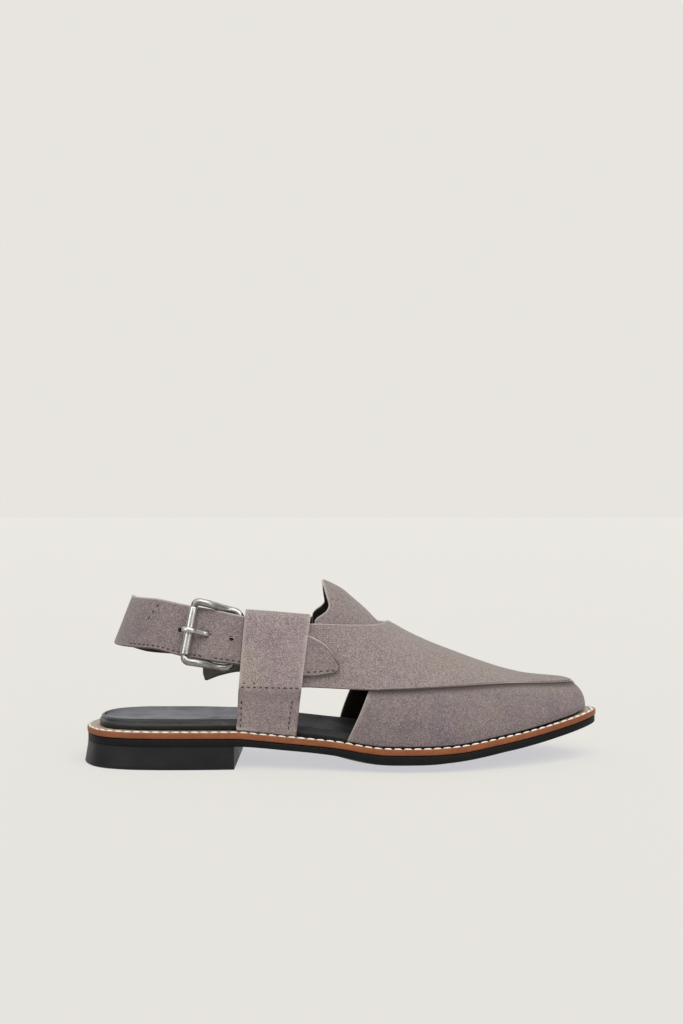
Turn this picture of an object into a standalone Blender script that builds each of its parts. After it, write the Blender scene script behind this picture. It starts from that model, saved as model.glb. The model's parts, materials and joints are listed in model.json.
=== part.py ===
# Peshawari chappal for the right foot, standing empty on its sole.
# Metres, +X to the toe, +Y to the inner side of the foot, +Z up.
# The origin is on the floor, at the middle of the heel's length.

import bpy
import bmesh
from bisect import bisect_right
from math import acos, asin, cos, pi, sin
from mathutils import Matrix, Vector

mm = 0.001

# Sole
sole_length = 292 * mm
ball_width = 91.5 * mm
heel_width = 65 * mm
heel_length = 86 * mm
heel_height = 12.2 * mm
heel_flare = 1.9 * mm
breast_flare = 0.25
outsole_thickness = 4.2 * mm
outsole_inset = 0.5 * mm
welt_thickness = 3.4 * mm
toe_spring = 20.2 * mm
tread_camber = 4.4 * mm
edge_round = 0.7 * mm
footbed_thickness = 5.6 * mm
footbed_inset = 7.0 * mm
footbed_round = 2.6 * mm
footbed_dish = 1.2 * mm

# Upper
instep_height = 74.6 * mm
strap_wall = 1.8 * mm
strap_lap = 0.5 * mm
welt_margin = 5.6 * mm
toe_margin = 7.6 * mm
ankle_width = 69 * mm
bulge_height = 24 * mm
seam_height = 44.3 * mm
wing_top = 76.6 * mm
tongue_wall = 1.8 * mm
tongue_side = 61.8 * mm
tongue_hem = 56.7 * mm

# Loops and heel strap
loop_width = 32.5 * mm
loop_wall = 1.5 * mm
loop_top = 86.2 * mm
inner_loop_top = 80.6 * mm
loop_lean = 7.0 * mm
loop_foot = 20.5 * mm
loop_join = 43.5 * mm
loop_blend = 3.5 * mm
loop_bend = 5.0 * mm
strap_width = 25.8 * mm
heel_strap_thickness = 2.6 * mm
heel_strap_rise = 80.5 * mm
hole_radius = 1.05 * mm
hole_spacing = 14.3 * mm

# Buckle
buckle_wire = 4.2 * mm
buckle_bar = 3.0 * mm
buckle_length = 28.2 * mm
buckle_margin = 2.0 * mm
buckle_corner = 4.6 * mm
roller_corner = 2.3 * mm
roller_diameter = 5.2 * mm
roller_round = 0.4 * mm
prong_wire = 2.7 * mm
prong_hole = -4.0 * mm
prong_eye_wall = 0.75 * mm
prong_eye_width = 4.0 * mm
prong_slot_length = 6.8 * mm
chape_wall = 0.75 * mm
chape_width = 21.5 * mm
chape_slot_length = 12 * mm
chape_slot_width = 6.4 * mm
chape_slot_back = 3.4 * mm
cutter_reach = 14 * mm

# Clearance between pieces that touch, between curved layers of strap and over the welt
gap = 0.3 * mm
lay_gap = 0.5 * mm
base_gap = 0.8 * mm
wing_inset = 0.25 * mm


def table(columns, *rows):
    """A table by column name, with slopes for a curve that does not overshoot."""
    names = columns.split()
    data = {name: [row[i] for row in rows] for i, name in enumerate(names)}
    key = data[names[0]]
    data["key"] = key
    data["slopes"] = {}
    for name in names[1:]:
        values = data[name]
        steps = [(values[i + 1] - values[i]) / (key[i + 1] - key[i]) for i in range(len(key) - 1)]
        inner = []
        for before, after in zip(steps, steps[1:]):
            inner.append(0.0 if before * after <= 0 else 2 * before * after / (before + after))
        data["slopes"][name] = [steps[0]] + inner + [steps[-1]]
    return data


def read(rows, column, at):
    """The value of one column at any place between the rows."""
    key = rows["key"]
    values = rows[column]
    if at <= key[0]:
        return values[0]
    if at >= key[-1]:
        return values[-1]
    i = bisect_right(key, at) - 1
    span = key[i + 1] - key[i]
    t = (at - key[i]) / span
    first, last = rows["slopes"][column][i], rows["slopes"][column][i + 1]
    low = values[i] * (1 + 2 * t) * (1 - t) ** 2 + values[i + 1] * (3 - 2 * t) * t * t
    return low + span * (first * t * (1 - t) ** 2 - last * (1 - t) * t * t)


def turn_of(along):
    """0 at the back and 1 at the tip, spread so that round ends are even."""
    return acos(1 - 2 * min(max(along, 0.0), 1.0)) / pi


def along_of(turn):
    return (1 - cos(pi * turn)) / 2


# The outer strap's two faces, out from the last; the inner strap lies on the last
outer_low = strap_wall - strap_lap
outer_high = outer_low + strap_wall


# Half outlines of the sole, in shares of the heel's and the ball's width
outline = table(
    "turn heel_lateral heel_medial ball_lateral ball_medial",
    (turn_of(0.000), 0.000, 0.000, 0.000, 0.000),
    (turn_of(0.010), 0.205, 0.205, 0.000, 0.000),
    (turn_of(0.032), 0.350, 0.350, 0.000, 0.000),
    (turn_of(0.064), 0.438, 0.438, 0.000, 0.000),
    (turn_of(0.114), 0.492, 0.492, 0.000, 0.000),
    (turn_of(0.181), 0.508, 0.500, 0.000, 0.000),
    (turn_of(0.294), 0.492, 0.462, 0.000, 0.000),
    (turn_of(0.370), 0.000, 0.000, 0.361, 0.301),
    (turn_of(0.438), 0.000, 0.000, 0.388, 0.306),
    (turn_of(0.507), 0.000, 0.000, 0.426, 0.361),
    (turn_of(0.558), 0.000, 0.000, 0.454, 0.437),
    (turn_of(0.609), 0.000, 0.000, 0.464, 0.503),
    (turn_of(0.661), 0.000, 0.000, 0.459, 0.541),
    (turn_of(0.712), 0.000, 0.000, 0.437, 0.546),
    (turn_of(0.763), 0.000, 0.000, 0.393, 0.525),
    (turn_of(0.815), 0.000, 0.000, 0.328, 0.486),
    (turn_of(0.866), 0.000, 0.000, 0.250, 0.437),
    (turn_of(0.911), 0.000, 0.000, 0.168, 0.383),
    (turn_of(0.952), 0.000, 0.000, 0.084, 0.318),
    (turn_of(0.980), 0.000, 0.000, 0.006, 0.248),
    (turn_of(1.000), 0.000, 0.000, -0.120, 0.120),
)

# Underside of the sole: shares of heel height, toe spring, camber and outsole thickness
profile = table(
    "along heel spring camber thickness",
    (0.000, 1.00, 0.00, 0.00, 1.00),
    (0.2942, 1.00, 0.00, 0.00, 0.96),
    (0.3526, 0.90, 0.00, 0.08, 0.86),
    (0.4211, 0.72, 0.00, 0.30, 0.86),
    (0.4795, 0.46, 0.00, 0.72, 0.92),
    (0.5107, 0.27, 0.00, 0.97, 0.98),
    (0.5419, 0.08, 0.00, 1.00, 1.12),
    (0.5681, 0.00, 0.00, 1.00, 1.19),
    (0.6647, 0.00, 0.00, 1.00, 1.17),
    (0.7191, 0.00, 0.06, 1.15, 1.00),
    (0.7805, 0.00, 0.20, 1.08, 1.00),
    (0.8429, 0.00, 0.41, 0.70, 1.00),
    (0.9114, 0.00, 0.67, 0.30, 0.97),
    (1.000, 0.00, 1.00, 0.00, 0.90),
)
flat_from, flat_to = 0.5681, 0.6647
tread_flat = 0.5
sole_stations = 32

# Sections of the last: ridge in shares of instep height, bulges in shares of ankle width
last_rows = table(
    "along ridge lean bulge_lateral bulge_medial fullness",
    (0.1845, 1.515, 0.020, 0.085, 0.075, 2.30),
    (0.2398, 1.508, 0.024, 0.098, 0.110, 2.30),
    (0.2902, 1.501, 0.028, 0.105, 0.145, 2.30),
    (0.3586, 1.475, 0.036, 0.100, 0.165, 2.25),
    (0.4271, 1.428, 0.040, 0.070, 0.160, 2.15),
    (0.4613, 1.381, 0.038, 0.062, 0.145, 2.05),
    (0.4956, 1.315, 0.035, 0.055, 0.120, 2.00),
    (0.5197, 1.237, 0.030, 0.050, 0.100, 2.00),
    (0.5439, 1.153, 0.025, 0.045, 0.080, 2.00),
    (0.5671, 1.062, 0.020, 0.040, 0.060, 2.02),
    (0.5912, 1.000, 0.015, 0.036, 0.050, 2.05),
    (0.6255, 0.924, 0.010, 0.030, 0.040, 2.08),
    (0.6738, 0.838, 0.006, 0.020, 0.030, 2.12),
    (0.7211, 0.768, 0.003, 0.015, 0.020, 2.16),
    (0.7694, 0.698, 0.000, 0.010, 0.012, 2.20),
    (0.8178, 0.637, 0.000, 0.005, 0.006, 2.25),
    (0.8621, 0.598, 0.000, 0.000, 0.000, 2.30),
    (0.9134, 0.578, 0.000, 0.000, 0.000, 2.40),
    (1.000, 0.560, 0.000, 0.000, 0.000, 2.40),
)
ridge_end = 0.9134
toe_start = 0.7785

lateral, medial = -1, 1


def place(along):
    """X of a share of the sole's length."""
    return along * sole_length - heel_length / 2


def share(x):
    return (x + heel_length / 2) / sole_length


def side_of_sole(turn, side):
    """Plan point of the sole's edge."""
    name = "lateral" if side == lateral else "medial"
    half = read(outline, "heel_" + name, turn) * heel_width
    half += read(outline, "ball_" + name, turn) * ball_width
    return Vector((place(along_of(turn)), side * half))


def rim(turn, side, inset):
    """Plan point a given way in from the sole's edge, square to it."""
    step = 0.004
    ahead = side_of_sole(min(turn + step, 1), side)
    behind = side_of_sole(max(turn - step, 0), side)
    run = (ahead - behind).normalized()
    if turn <= 0 or turn >= 1:
        run = Vector((0, side if turn <= 0 else -side))
    inward = Vector((run.y, -run.x)) * side
    return side_of_sole(turn, side) + inward * inset


def across(x, y):
    """-1 at the outer edge of the sole and 1 at the inner edge."""
    turn = turn_of(share(x))
    low = side_of_sole(turn, lateral).y
    high = side_of_sole(turn, medial).y
    if high - low < 1 * mm:
        return 0.0
    return min(max((2 * y - low - high) / (high - low), -1.0), 1.0)


def tread_z(x, y):
    """Underside of the outsole, with arch, flat spot, camber and toe spring."""
    along = share(x)
    lift = max(abs(across(x, y)) - tread_flat, 0) / (1 - tread_flat)
    centre = read(profile, "heel", along) * (heel_height + gap)
    centre += read(profile, "spring", along) * toe_spring
    return centre + read(profile, "camber", along) * tread_camber * lift


def outsole_top(x, y):
    return tread_z(x, y) + outsole_thickness * read(profile, "thickness", share(x))


def welt_bottom(x, y):
    return outsole_top(x, y) + gap


def welt_top(x, y):
    return welt_bottom(x, y) + welt_thickness


def footbed_bottom(x, y):
    return welt_top(x, y) + lay_gap


def footbed_top(x, y):
    return footbed_bottom(x, y) + footbed_thickness


def margin_of(along):
    """The welt's bare width outside the last, wider round the toe."""
    near_tip = max(along - toe_start, 0) / (1 - toe_start)
    return welt_margin + (toe_margin - welt_margin) * near_tip


def ridge_share(along):
    """Where on the ridge a section's top lies: the toe's sections fan in to its end."""
    if along <= toe_start:
        return along
    q = (along - toe_start) / (1 - toe_start)
    k = (1 - toe_start) / (ridge_end - toe_start)
    return toe_start + (ridge_end - toe_start) * (k * q - (k - 1) * q * q)


def last_frame(along, side):
    """Base point, ridge point, bulge and fullness of one half section."""
    base = rim(turn_of(along), side, margin_of(along))
    top = ridge_share(along)
    turn = turn_of(top)
    centre = (side_of_sole(turn, lateral) + side_of_sole(turn, medial)) / 2
    ridge = centre + Vector((0, read(last_rows, "lean", top) * ankle_width))
    name = "bulge_lateral" if side == lateral else "bulge_medial"
    face = rim(turn_of(along), side, margin_of(along) - outer_high)
    low = max(welt_top(base.x, base.y), welt_top(face.x, face.y)) + base_gap
    high = read(last_rows, "ridge", top) * instep_height
    bulge = read(last_rows, name, top) * ankle_width
    return base, ridge, low, high, bulge, read(last_rows, "fullness", top)


def last_point(along, w):
    """The last's surface: w is -1 at the outer base, 0 on the ridge, 1 at the inner base."""
    side = lateral if w < 0 else medial
    base, ridge, low, high, bulge, fullness = last_frame(along, side)
    angle = (1 - min(abs(w), 1.0)) * pi / 2
    out = max(cos(angle), 0.0) ** (2 / fullness)
    up = sin(angle) ** (2 / fullness)
    z = low + (high - low) * up
    rise = min((z - low) / bulge_height, 1.0)
    swell = bulge / (base - ridge).length * rise * rise * (3 - 2 * rise)
    plan = ridge + (base - ridge) * out * (1 + swell)
    return Vector((plan.x, plan.y, z))


def w_at(along, side, z):
    """The w of the last's surface at a height."""
    base, ridge, low, high, bulge, fullness = last_frame(along, side)
    up = min(max((z - low) / (high - low), 0.0), 1.0)
    return side * (1 - asin(up ** (fullness / 2)) * 2 / pi)


def last_normal(along, w):
    """Outward normal on a side wall of the last."""
    step = 0.01
    run = last_point(along + step, w) - last_point(along - step, w)
    climb = last_point(along, w - step) - last_point(along, w + step)
    return run.cross(climb).normalized() * -1


def skin(along, side, z, offset):
    """A point at a height, a given way out from the last."""
    level = z
    for _ in range(5):
        w = w_at(along, side, level)
        w = side * min(max(abs(w), 0.03), 0.985)
        point = last_point(along, w) + last_normal(along, w) * offset
        level += z - point.z
    return point


def material(name, colour, roughness, metallic=0.0):
    """A plain finish for one kind of material."""
    found = bpy.data.materials.get(name) or bpy.data.materials.new(name)
    found.use_nodes = True
    shader = found.node_tree.nodes["Principled BSDF"]
    shader.inputs["Base Color"].default_value = (*colour, 1)
    shader.inputs["Roughness"].default_value = roughness
    shader.inputs["Metallic"].default_value = metallic
    return found


def collection(name):
    made = bpy.data.collections.new(name)
    bpy.context.scene.collection.children.link(made)
    return made


def add(name, mesh, finish, group):
    """An object from a bmesh or a mesh, in a collection."""
    if isinstance(mesh, bmesh.types.BMesh):
        data = bpy.data.meshes.new(name)
        mesh.to_mesh(data)
        mesh.free()
    else:
        data = mesh
    piece = bpy.data.objects.new(name, data)
    group.objects.link(piece)
    if finish:
        data.materials.clear()
        data.materials.append(finish)
    data.shade_smooth()
    data.set_sharp_from_angle(angle=0.7)
    return piece


def as_cutter(piece):
    """Hides a shape that only cuts or joins another."""
    piece.hide_render = True
    piece.display_type = "WIRE"
    return piece


def grid(rows, closed=False, split=False):
    """A bmesh from rows of points, with doubled points merged.

    Split cells share one rule for their diagonal, so that stacked layers stay parallel.
    """
    mesh = bmesh.new()
    made = [[mesh.verts.new(point) for point in row] for row in rows]
    for near, far in zip(made, made[1:]):
        count = len(near)
        for i in range(count if closed else count - 1):
            j = (i + 1) % count
            if not split:
                mesh.faces.new((near[i], near[j], far[j], far[i]))
            elif abs(near[i].co.y) > abs(near[j].co.y):
                mesh.faces.new((near[i], near[j], far[j]))
                mesh.faces.new((near[i], far[j], far[i]))
            else:
                mesh.faces.new((near[i], near[j], far[i]))
                mesh.faces.new((near[j], far[j], far[i]))
    bmesh.ops.remove_doubles(mesh, verts=mesh.verts, dist=0.01 * mm)
    return mesh


def face_out(mesh):
    """Turns an open surface's faces away from the middle of the foot."""
    mesh.normal_update()
    facing = 0.0
    for face in mesh.faces:
        middle = face.calc_center_median()
        axis = Vector((middle.x, 0, instep_height / 2))
        facing += face.normal.dot(middle - axis) * face.calc_area()
    if facing < 0:
        bmesh.ops.reverse_faces(mesh, faces=mesh.faces)
        mesh.normal_update()


def solid_sheet(name, rows, low, high, finish, group):
    """An open surface moved out to low and thickened to high."""
    mesh = grid(rows)
    face_out(mesh)
    if low:
        shifts = [(v, v.normal.copy() * low) for v in mesh.verts]
        for vert, shift in shifts:
            vert.co += shift
    piece = add(name, mesh, finish, group)
    wall = piece.modifiers.new("wall", "SOLIDIFY")
    wall.thickness = high - low
    wall.offset = 1
    wall.use_even_offset = True
    return piece


def solid_sheet_centred(name, rows, thickness, finish, group):
    """A surface thickened evenly to both sides."""
    piece = add(name, grid(rows), finish, group)
    wall = piece.modifiers.new("wall", "SOLIDIFY")
    wall.thickness = thickness
    wall.offset = 0
    wall.use_even_offset = True
    return piece


def boolean(piece, tool, operation):
    """Cuts a shape from a piece, or joins one to it."""
    step = piece.modifiers.new(tool.name, "BOOLEAN")
    step.object = tool
    step.operation = operation
    step.solver = "EXACT"


def sole_turns(count):
    """Stations along the sole, with rows at the ends of the flat spot."""
    turns = [i / count for i in range(count + 1)]
    for exact in (turn_of(flat_from), turn_of(flat_to)):
        nearest = min(range(1, count), key=lambda i: abs(turns[i] - exact))
        turns[nearest] = exact
    return turns


def inset_of(turn, inset):
    """A layer's inset, which widens round the toe where the layer is inside the upper."""
    if inset < footbed_inset:
        return inset
    return inset + margin_of(along_of(turn)) - welt_margin


def layer_point(turn, side, ring, floor, top):
    """A point on a layer's edge: a ring is an inset and a share of the layer's thickness."""
    inset, height = ring
    plan = rim(turn, side, inset_of(turn, inset))
    low = floor(plan.x, plan.y)
    return Vector((plan.x, plan.y, low + (top(plan.x, plan.y) - low) * height))


def layer_columns(turn, inset, surface, dish):
    """A layer's face across one station, with rows where the tread starts to rise."""
    inset = inset_of(turn, inset)
    outer = rim(turn, lateral, inset)
    inner = rim(turn, medial, inset)
    full = (side_of_sole(turn, medial) - side_of_sole(turn, lateral)).length
    own = (inner - outer).length
    split = min(tread_flat * full / own, 0.8) if own > 1 * mm else 0.5
    columns = []
    for v in (-1, -split, 0, split, 1):
        plan = outer.lerp(inner, (v + 1) / 2)
        columns.append(Vector((plan.x, plan.y, surface(plan.x, plan.y) - dish * (1 - v * v))))
    return columns


def layer(name, rings, floor, top, finish, group, dish=0.0):
    """A layer of the sole between two surfaces, with rings up its edge."""
    rows = []
    for turn in sole_turns(sole_stations):
        lower = layer_columns(turn, rings[0][0], floor, 0.0)
        upper = layer_columns(turn, rings[-1][0], top, dish)
        inner_side = [layer_point(turn, medial, ring, floor, top) for ring in rings[1:-1]]
        outer_side = [layer_point(turn, lateral, ring, floor, top) for ring in rings[1:-1]]
        rows.append(lower + inner_side + upper[::-1] + outer_side[::-1])
    mesh = grid(rows, closed=True, split=True)
    bmesh.ops.recalc_face_normals(mesh, faces=mesh.faces)
    return add(name, mesh, finish, group)


def build_outsole(finish, group):
    """The black rubber outsole, with arch, flat spot and toe spring."""
    soft = edge_round / outsole_thickness
    rings = [
        (outsole_inset + edge_round, 0.0),
        (outsole_inset, soft),
        (outsole_inset, 1 - soft),
        (outsole_inset, 1.0),
    ]
    return layer("outsole", rings, tread_z, outsole_top, finish, group)


def build_heel(finish, group):
    """The rubber heel block, flared towards the floor."""
    stations = 14
    breast = turn_of(heel_length / sole_length)
    turns = [(breast * (1 - i / stations), lateral) for i in range(stations)]
    turns += [(breast * i / stations, medial) for i in range(stations + 1)]
    rows = []
    for level, spread in ((0.0, 1.0), (0.5, 0.42), (1.0, 0.0)):
        row = []
        for turn, side in turns:
            rear = breast_flare + (1 - breast_flare) * max(1 - turn / breast, 0.0) ** 0.6
            plan = rim(turn, side, outsole_inset - heel_flare * spread * rear)
            plan.x = min(plan.x, place(along_of(breast)))
            row.append(Vector((plan.x, plan.y, level * heel_height)))
        rows.append(row)
    mesh = grid(rows, closed=True)
    edges = [edge for edge in mesh.edges if edge.is_boundary]
    bmesh.ops.holes_fill(mesh, edges=edges, sides=0)
    bmesh.ops.recalc_face_normals(mesh, faces=mesh.faces)
    return add("heel", mesh, finish, group)


def build_welt(finish, group):
    """The stitched leather welt all round, over the whole outsole."""
    soft = edge_round / welt_thickness
    rings = [
        (edge_round, 0.0),
        (0.0, soft),
        (0.0, 1 - soft),
        (edge_round, 1.0),
    ]
    return layer("welt", rings, welt_bottom, welt_top, finish, group)


def build_footbed(finish, group):
    """The padded footbed inside the upper, dished under the foot."""
    rings = [
        (footbed_inset + footbed_round * 0.2, 0.0),
        (footbed_inset, 0.3),
        (footbed_inset + footbed_round * 0.3, 0.78),
        (footbed_inset + footbed_round, 1.0),
    ]
    return layer("footbed", rings, footbed_bottom, footbed_top, finish, group, footbed_dish)


# Rear edges of the two strap roots, straight in side view: shares of the sole's length
root_edges = table(
    "side base ridge",
    (lateral, 0.5077, 0.5973),
    (medial, 0.4976, 0.5912),
)
# How far the inner strap's inner half starts behind the outer strap's edge
hidden_lap = 0.045


def root_line(along, w, side):
    """X share of a root's rear edge at the height of a point on the last."""
    z = last_point(along, w).z
    low = last_frame(along, side)[2]
    up = min((z - low) / (instep_height - low), 1.0)
    first = read(root_edges, "base", side)
    return first + (read(root_edges, "ridge", side) - first) * up


def root_at(w, side):
    """Where a root's rear edge crosses one line of the last."""
    along = read(root_edges, "ridge", side)
    for _ in range(8):
        along = root_line(along, w, side)
    return along


def root_start(w):
    """Where the inner strap's panel begins; its inner half lies under the outer strap."""
    side = lateral if w < 0 else medial
    along = root_at(w, side)
    if side == medial:
        along += hidden_lap * min(abs(w) * 3, 1.0)
    return along


def toe_panel_rows(across_count, along_count):
    """The inner strap's root, from its rear edge round the closed toe."""
    rows = []
    for j in range(across_count + 1):
        w = -1 + 2 * j / across_count
        start = root_start(w)
        row = []
        for i in range(along_count + 1):
            along = start + (1 - start) * sin(pi / 2 * i / along_count)
            row.append(last_point(along, w))
        rows.append(row)
    return rows


# Upper and lower edge of a crossing strap's free wing: shares of wing top and seam height
wing_edges = table(
    "along top seam",
    (0.2126, 0.945, 0.890),
    (0.2549, 0.985, 0.970),
    (0.2902, 1.015, 1.000),
    (0.3516, 1.018, 1.000),
    (0.4372, 1.010, 1.000),
    (0.5026, 0.990, 1.000),
    (0.564, 0.962, 1.000),
    (0.5912, 0.974, 1.000),
    (0.7483, 0.974, 1.000),
    (0.849, 0.974, 0.994),
    (0.8993, 0.974, 0.985),
    (1.000, 0.974, 0.962),
)


def resample(path, count):
    """Even steps along a path of (along, w) pairs on the last."""
    points = [last_point(*pair) for pair in path]
    lengths = [0.0]
    for near, far in zip(points, points[1:]):
        lengths.append(lengths[-1] + (far - near).length)
    made = []
    for i in range(count + 1):
        at = lengths[-1] * i / count
        k = min(max(bisect_right(lengths, at) - 1, 0), len(path) - 2)
        span = lengths[k + 1] - lengths[k]
        t = (at - lengths[k]) / span if span > 0 else 0.0
        made.append((
            path[k][0] + (path[k + 1][0] - path[k][0]) * t,
            path[k][1] + (path[k + 1][1] - path[k][1]) * t,
        ))
    return made


# Shares of the sole's length: the outer strap's front end and foremost base point,
# and the hidden start and cut end of the inner strap's wing
wing_end = 0.3531
outer_front = 0.8913
inner_wing_start = 0.6275
inner_wing_end = 0.2126
edge_steps = 24


def outer_strap_edges():
    """Rear and front edges of the outer strap, from its inner root to the wing's end."""
    ridge = read(root_edges, "ridge", medial)
    rear = []
    for i in range(edge_steps + 1):
        w = 1 - i / edge_steps
        rear.append((root_at(w, medial), w))
    for i in range(1, edge_steps + 1):
        along = ridge + (wing_end - ridge) * i / edge_steps
        rear.append((along, w_at(along, lateral, read(wing_edges, "top", along) * wing_top)))
    tip_w = w_at(1.0, medial, read(wing_edges, "seam", 1.0) * seam_height)
    front = []
    for i in range(edge_steps + 1):
        t = i / edge_steps
        along = outer_front + (1 - outer_front) * sin(t * pi / 2)
        front.append((along, 1 + (tip_w - 1) * t))
    for i in range(2 * edge_steps + 1):
        along = 1 + (wing_end - 1) * (i / (2 * edge_steps)) ** 1.3
        front.append((along, w_at(along, lateral, read(wing_edges, "seam", along) * seam_height)))
    return rear, front


def outer_strap_rows(along_count, across_count):
    """The outer strap's surface on the last, across from its rear to its front edge."""
    rear, front = outer_strap_edges()
    rows = []
    for near, far in zip(resample(rear, along_count), resample(front, along_count)):
        row = []
        for i in range(across_count + 1):
            t = i / across_count
            along = near[0] + (far[0] - near[0]) * t
            row.append(last_point(along, near[1] + (far[1] - near[1]) * t))
        rows.append(row)
    return rows


def wing_rows(along_count, across_count):
    """The inner strap's free wing on the inner side, back to its cut end."""
    rows = []
    for j in range(across_count + 1):
        row = []
        for i in range(along_count + 1):
            along = inner_wing_start + (inner_wing_end - inner_wing_start) * i / along_count
            top = w_at(along, medial, read(wing_edges, "top", along) * wing_top)
            seam = w_at(along, medial, read(wing_edges, "seam", along) * seam_height)
            top = max(top, 0.06)
            row.append(last_point(along, seam + (top - seam) * j / across_count))
        rows.append(row)
    return rows


def build_upper(finish, group, cutters):
    """Two crossing straps joined where they cross, closed over the toe."""
    outer = solid_sheet("upper", outer_strap_rows(30, 12), outer_low, outer_high, finish, group)
    panel = solid_sheet("toe_panel", toe_panel_rows(22, 20), 0.0, strap_wall, None, cutters)
    thick = strap_wall - wing_inset
    wing = solid_sheet("inner_wing", wing_rows(22, 6), wing_inset, thick, None, cutters)
    boolean(outer, as_cutter(panel), "UNION")
    boolean(outer, as_cutter(wing), "UNION")
    return outer


# Rear edge of the tongue in side view: height in shares of the instep's, place in the sole's
tongue_edge = table(
    "height lateral medial",
    (0.770, 0.4423, 0.4360),
    (1.060, 0.4423, 0.4360),
    (1.090, 0.4430, 0.4365),
    (1.112, 0.4470, 0.4390),
    (1.136, 0.4570, 0.4440),
    (1.165, 0.4660, 0.4530),
    (1.205, 0.4700, 0.4590),
    (1.254, 0.4670, 0.4580),
    (1.313, 0.4630, 0.4575),
    (1.375, 0.4590, 0.4590),
)
tongue_front = 0.6526


def tongue_rows(across_count, along_count):
    """The tongue's surface on the last, from its shaped rear edge forward."""
    rows = []
    for j in range(across_count + 1):
        spread = -1 + 2 * j / across_count
        row = []
        side = lateral if spread < 0 else medial
        name = "lateral" if side == lateral else "medial"
        along = 0.461
        for _ in range(8):
            near = abs(w_at(along, side, tongue_side))
            z = last_point(along, near * spread).z
            along = 0.5 * along + 0.5 * read(tongue_edge, name, z / instep_height)
        for i in range(along_count + 1):
            here = along + (tongue_front - along) * i / along_count
            far = abs(w_at(here, side, tongue_hem))
            reach = near + (far - near) * min(i / 3, 1.0)
            row.append(last_point(here, reach * spread))
        rows.append(row)
    return rows


def build_tongue(finish, group):
    """The peaked tongue under the crossing, open behind in a hollow throat."""
    rows = tongue_rows(16, 12)
    return solid_sheet("tongue", rows, -lay_gap - tongue_wall, -lay_gap, finish, group)


# Stack of layers at each loop, out from the last
lateral_inner = outer_low - lay_gap - loop_wall / 2
lateral_billet = outer_high + lay_gap + heel_strap_thickness / 2
lateral_outer = lateral_billet + heel_strap_thickness / 2 + lay_gap + loop_wall / 2
medial_inner = -lay_gap - loop_wall / 2
medial_billet = strap_wall + lay_gap + heel_strap_thickness / 2
medial_outer = medial_billet + heel_strap_thickness / 2 + lay_gap + loop_wall / 2
loop_base = {lateral: 0.3541, medial: 0.3473}

# A loop's top: drop in shares of its bend, and way out in shares of half its depth
loop_crown = ((0.32, 0.05), (0.06, 0.35), (0.0, 1.0), (0.06, 1.65), (0.32, 1.95))


def loop_rows(side, inner, outer):
    """A folded strap: up the inside, over the top and down the outside."""
    thin = loop_wall + 2 * gap
    crown = (outer - inner) / 2
    top = (loop_top if side == lateral else inner_loop_top) - loop_wall / 2
    bend = top - loop_bend
    shut = loop_join - loop_blend
    stem = inner + thin
    legs = [(loop_foot + (shut - loop_foot) * i / 3, inner) for i in range(3)]
    legs += [(shut + (bend - shut) * i / 6, inner) for i in range(7)]
    legs += [(top - drop * loop_bend, inner + out * crown) for drop, out in loop_crown]
    legs += [(bend + (loop_join + loop_blend - bend) * i / 4, outer) for i in range(5)]
    legs += [(loop_join, (outer + stem) / 2), (shut, stem)]
    legs += [(shut + (loop_foot - shut) * i / 3, stem) for i in range(1, 4)]
    rows = []
    for z, offset in legs:
        rise = (z - loop_foot) / (top - loop_foot)
        row = []
        for i in range(5):
            spread = (i / 4 - 0.5) * loop_width
            along = loop_base[side] + (loop_lean * rise + spread) / sole_length
            row.append(skin(along, side, z, offset))
        rows.append(row)
    return rows


def build_loop(name, side, inner, outer, finish, group):
    """A doubled strap that holds the heel strap, its feet set on the welt."""
    rows = loop_rows(side, inner, outer)
    for row in (rows[0], rows[-1]):
        for point in row:
            point.z = welt_top(point.x, point.y) + 3 * gap
    if side == medial:
        rows = [row[::-1] for row in rows]
    return solid_sheet_centred(name, rows, loop_wall, finish, group)


# Lower edge of the heel strap, in shares of its rise at the back, and its width's share
strap_sides = {
    lateral: table(
        "along low width",
        (0.0737, 0.838, 1.000),
        (0.1361, 0.822, 1.020),
        (0.2046, 0.764, 1.080),
        (0.3073, 0.717, 1.015),
        (0.4271, 0.643, 0.900),
        (0.4462, 0.644, 0.830),
        (0.4583, 0.650, 0.750),
        (0.4774, 0.661, 0.440),
        (0.4865, 0.684, 0.160),
        (0.490, 0.696, 0.060),
    ),
    medial: table(
        "along low width",
        (0.0737, 0.838, 1.000),
        (0.0858, 0.790, 0.990),
        (0.1049, 0.726, 0.990),
        (0.1361, 0.708, 0.990),
        (0.1985, 0.682, 0.990),
        (0.3012, 0.644, 0.990),
        (0.3959, 0.622, 0.990),
    ),
}
# Shares of the sole's length: where the strap leaves the last, and how far back it goes
strap_join = 0.2630
strap_back_low, strap_back_high = 0.0551, 0.0913
strap_roundness = 2.2


def strap_edge(side, along, level):
    """Height on the heel strap: level 0 is its lower edge and 1 its upper edge."""
    rows = strap_sides[side]
    low = read(rows, "low", along) * heel_strap_rise
    return low + read(rows, "width", along) * strap_width * level


def strap_point_at(side, along, level):
    """The heel strap's middle layer, on the last in front and free round the heel."""
    z = strap_edge(side, along, level)
    offset = lateral_billet if side == lateral else medial_billet
    if along >= strap_join:
        return skin(along, side, z, offset)
    anchor = skin(strap_join, side, strap_edge(side, strap_join, level), offset)
    back = strap_back_low + (strap_back_high - strap_back_low) * level
    q = min((strap_join - along) / (strap_join - back), 1.0)
    y = anchor.y * (1 - q ** strap_roundness) ** (1 / strap_roundness)
    return Vector((place(along), y, z))


def strap_station(side, t, level):
    """The same, by a turn that is 0 at the very back and 1 where the last begins."""
    back = strap_back_low + (strap_back_high - strap_back_low) * level
    q = cos(t * pi / 2) ** (2 / strap_roundness)
    along = strap_join - (strap_join - back) * q
    return strap_point_at(side, along, level)


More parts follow.
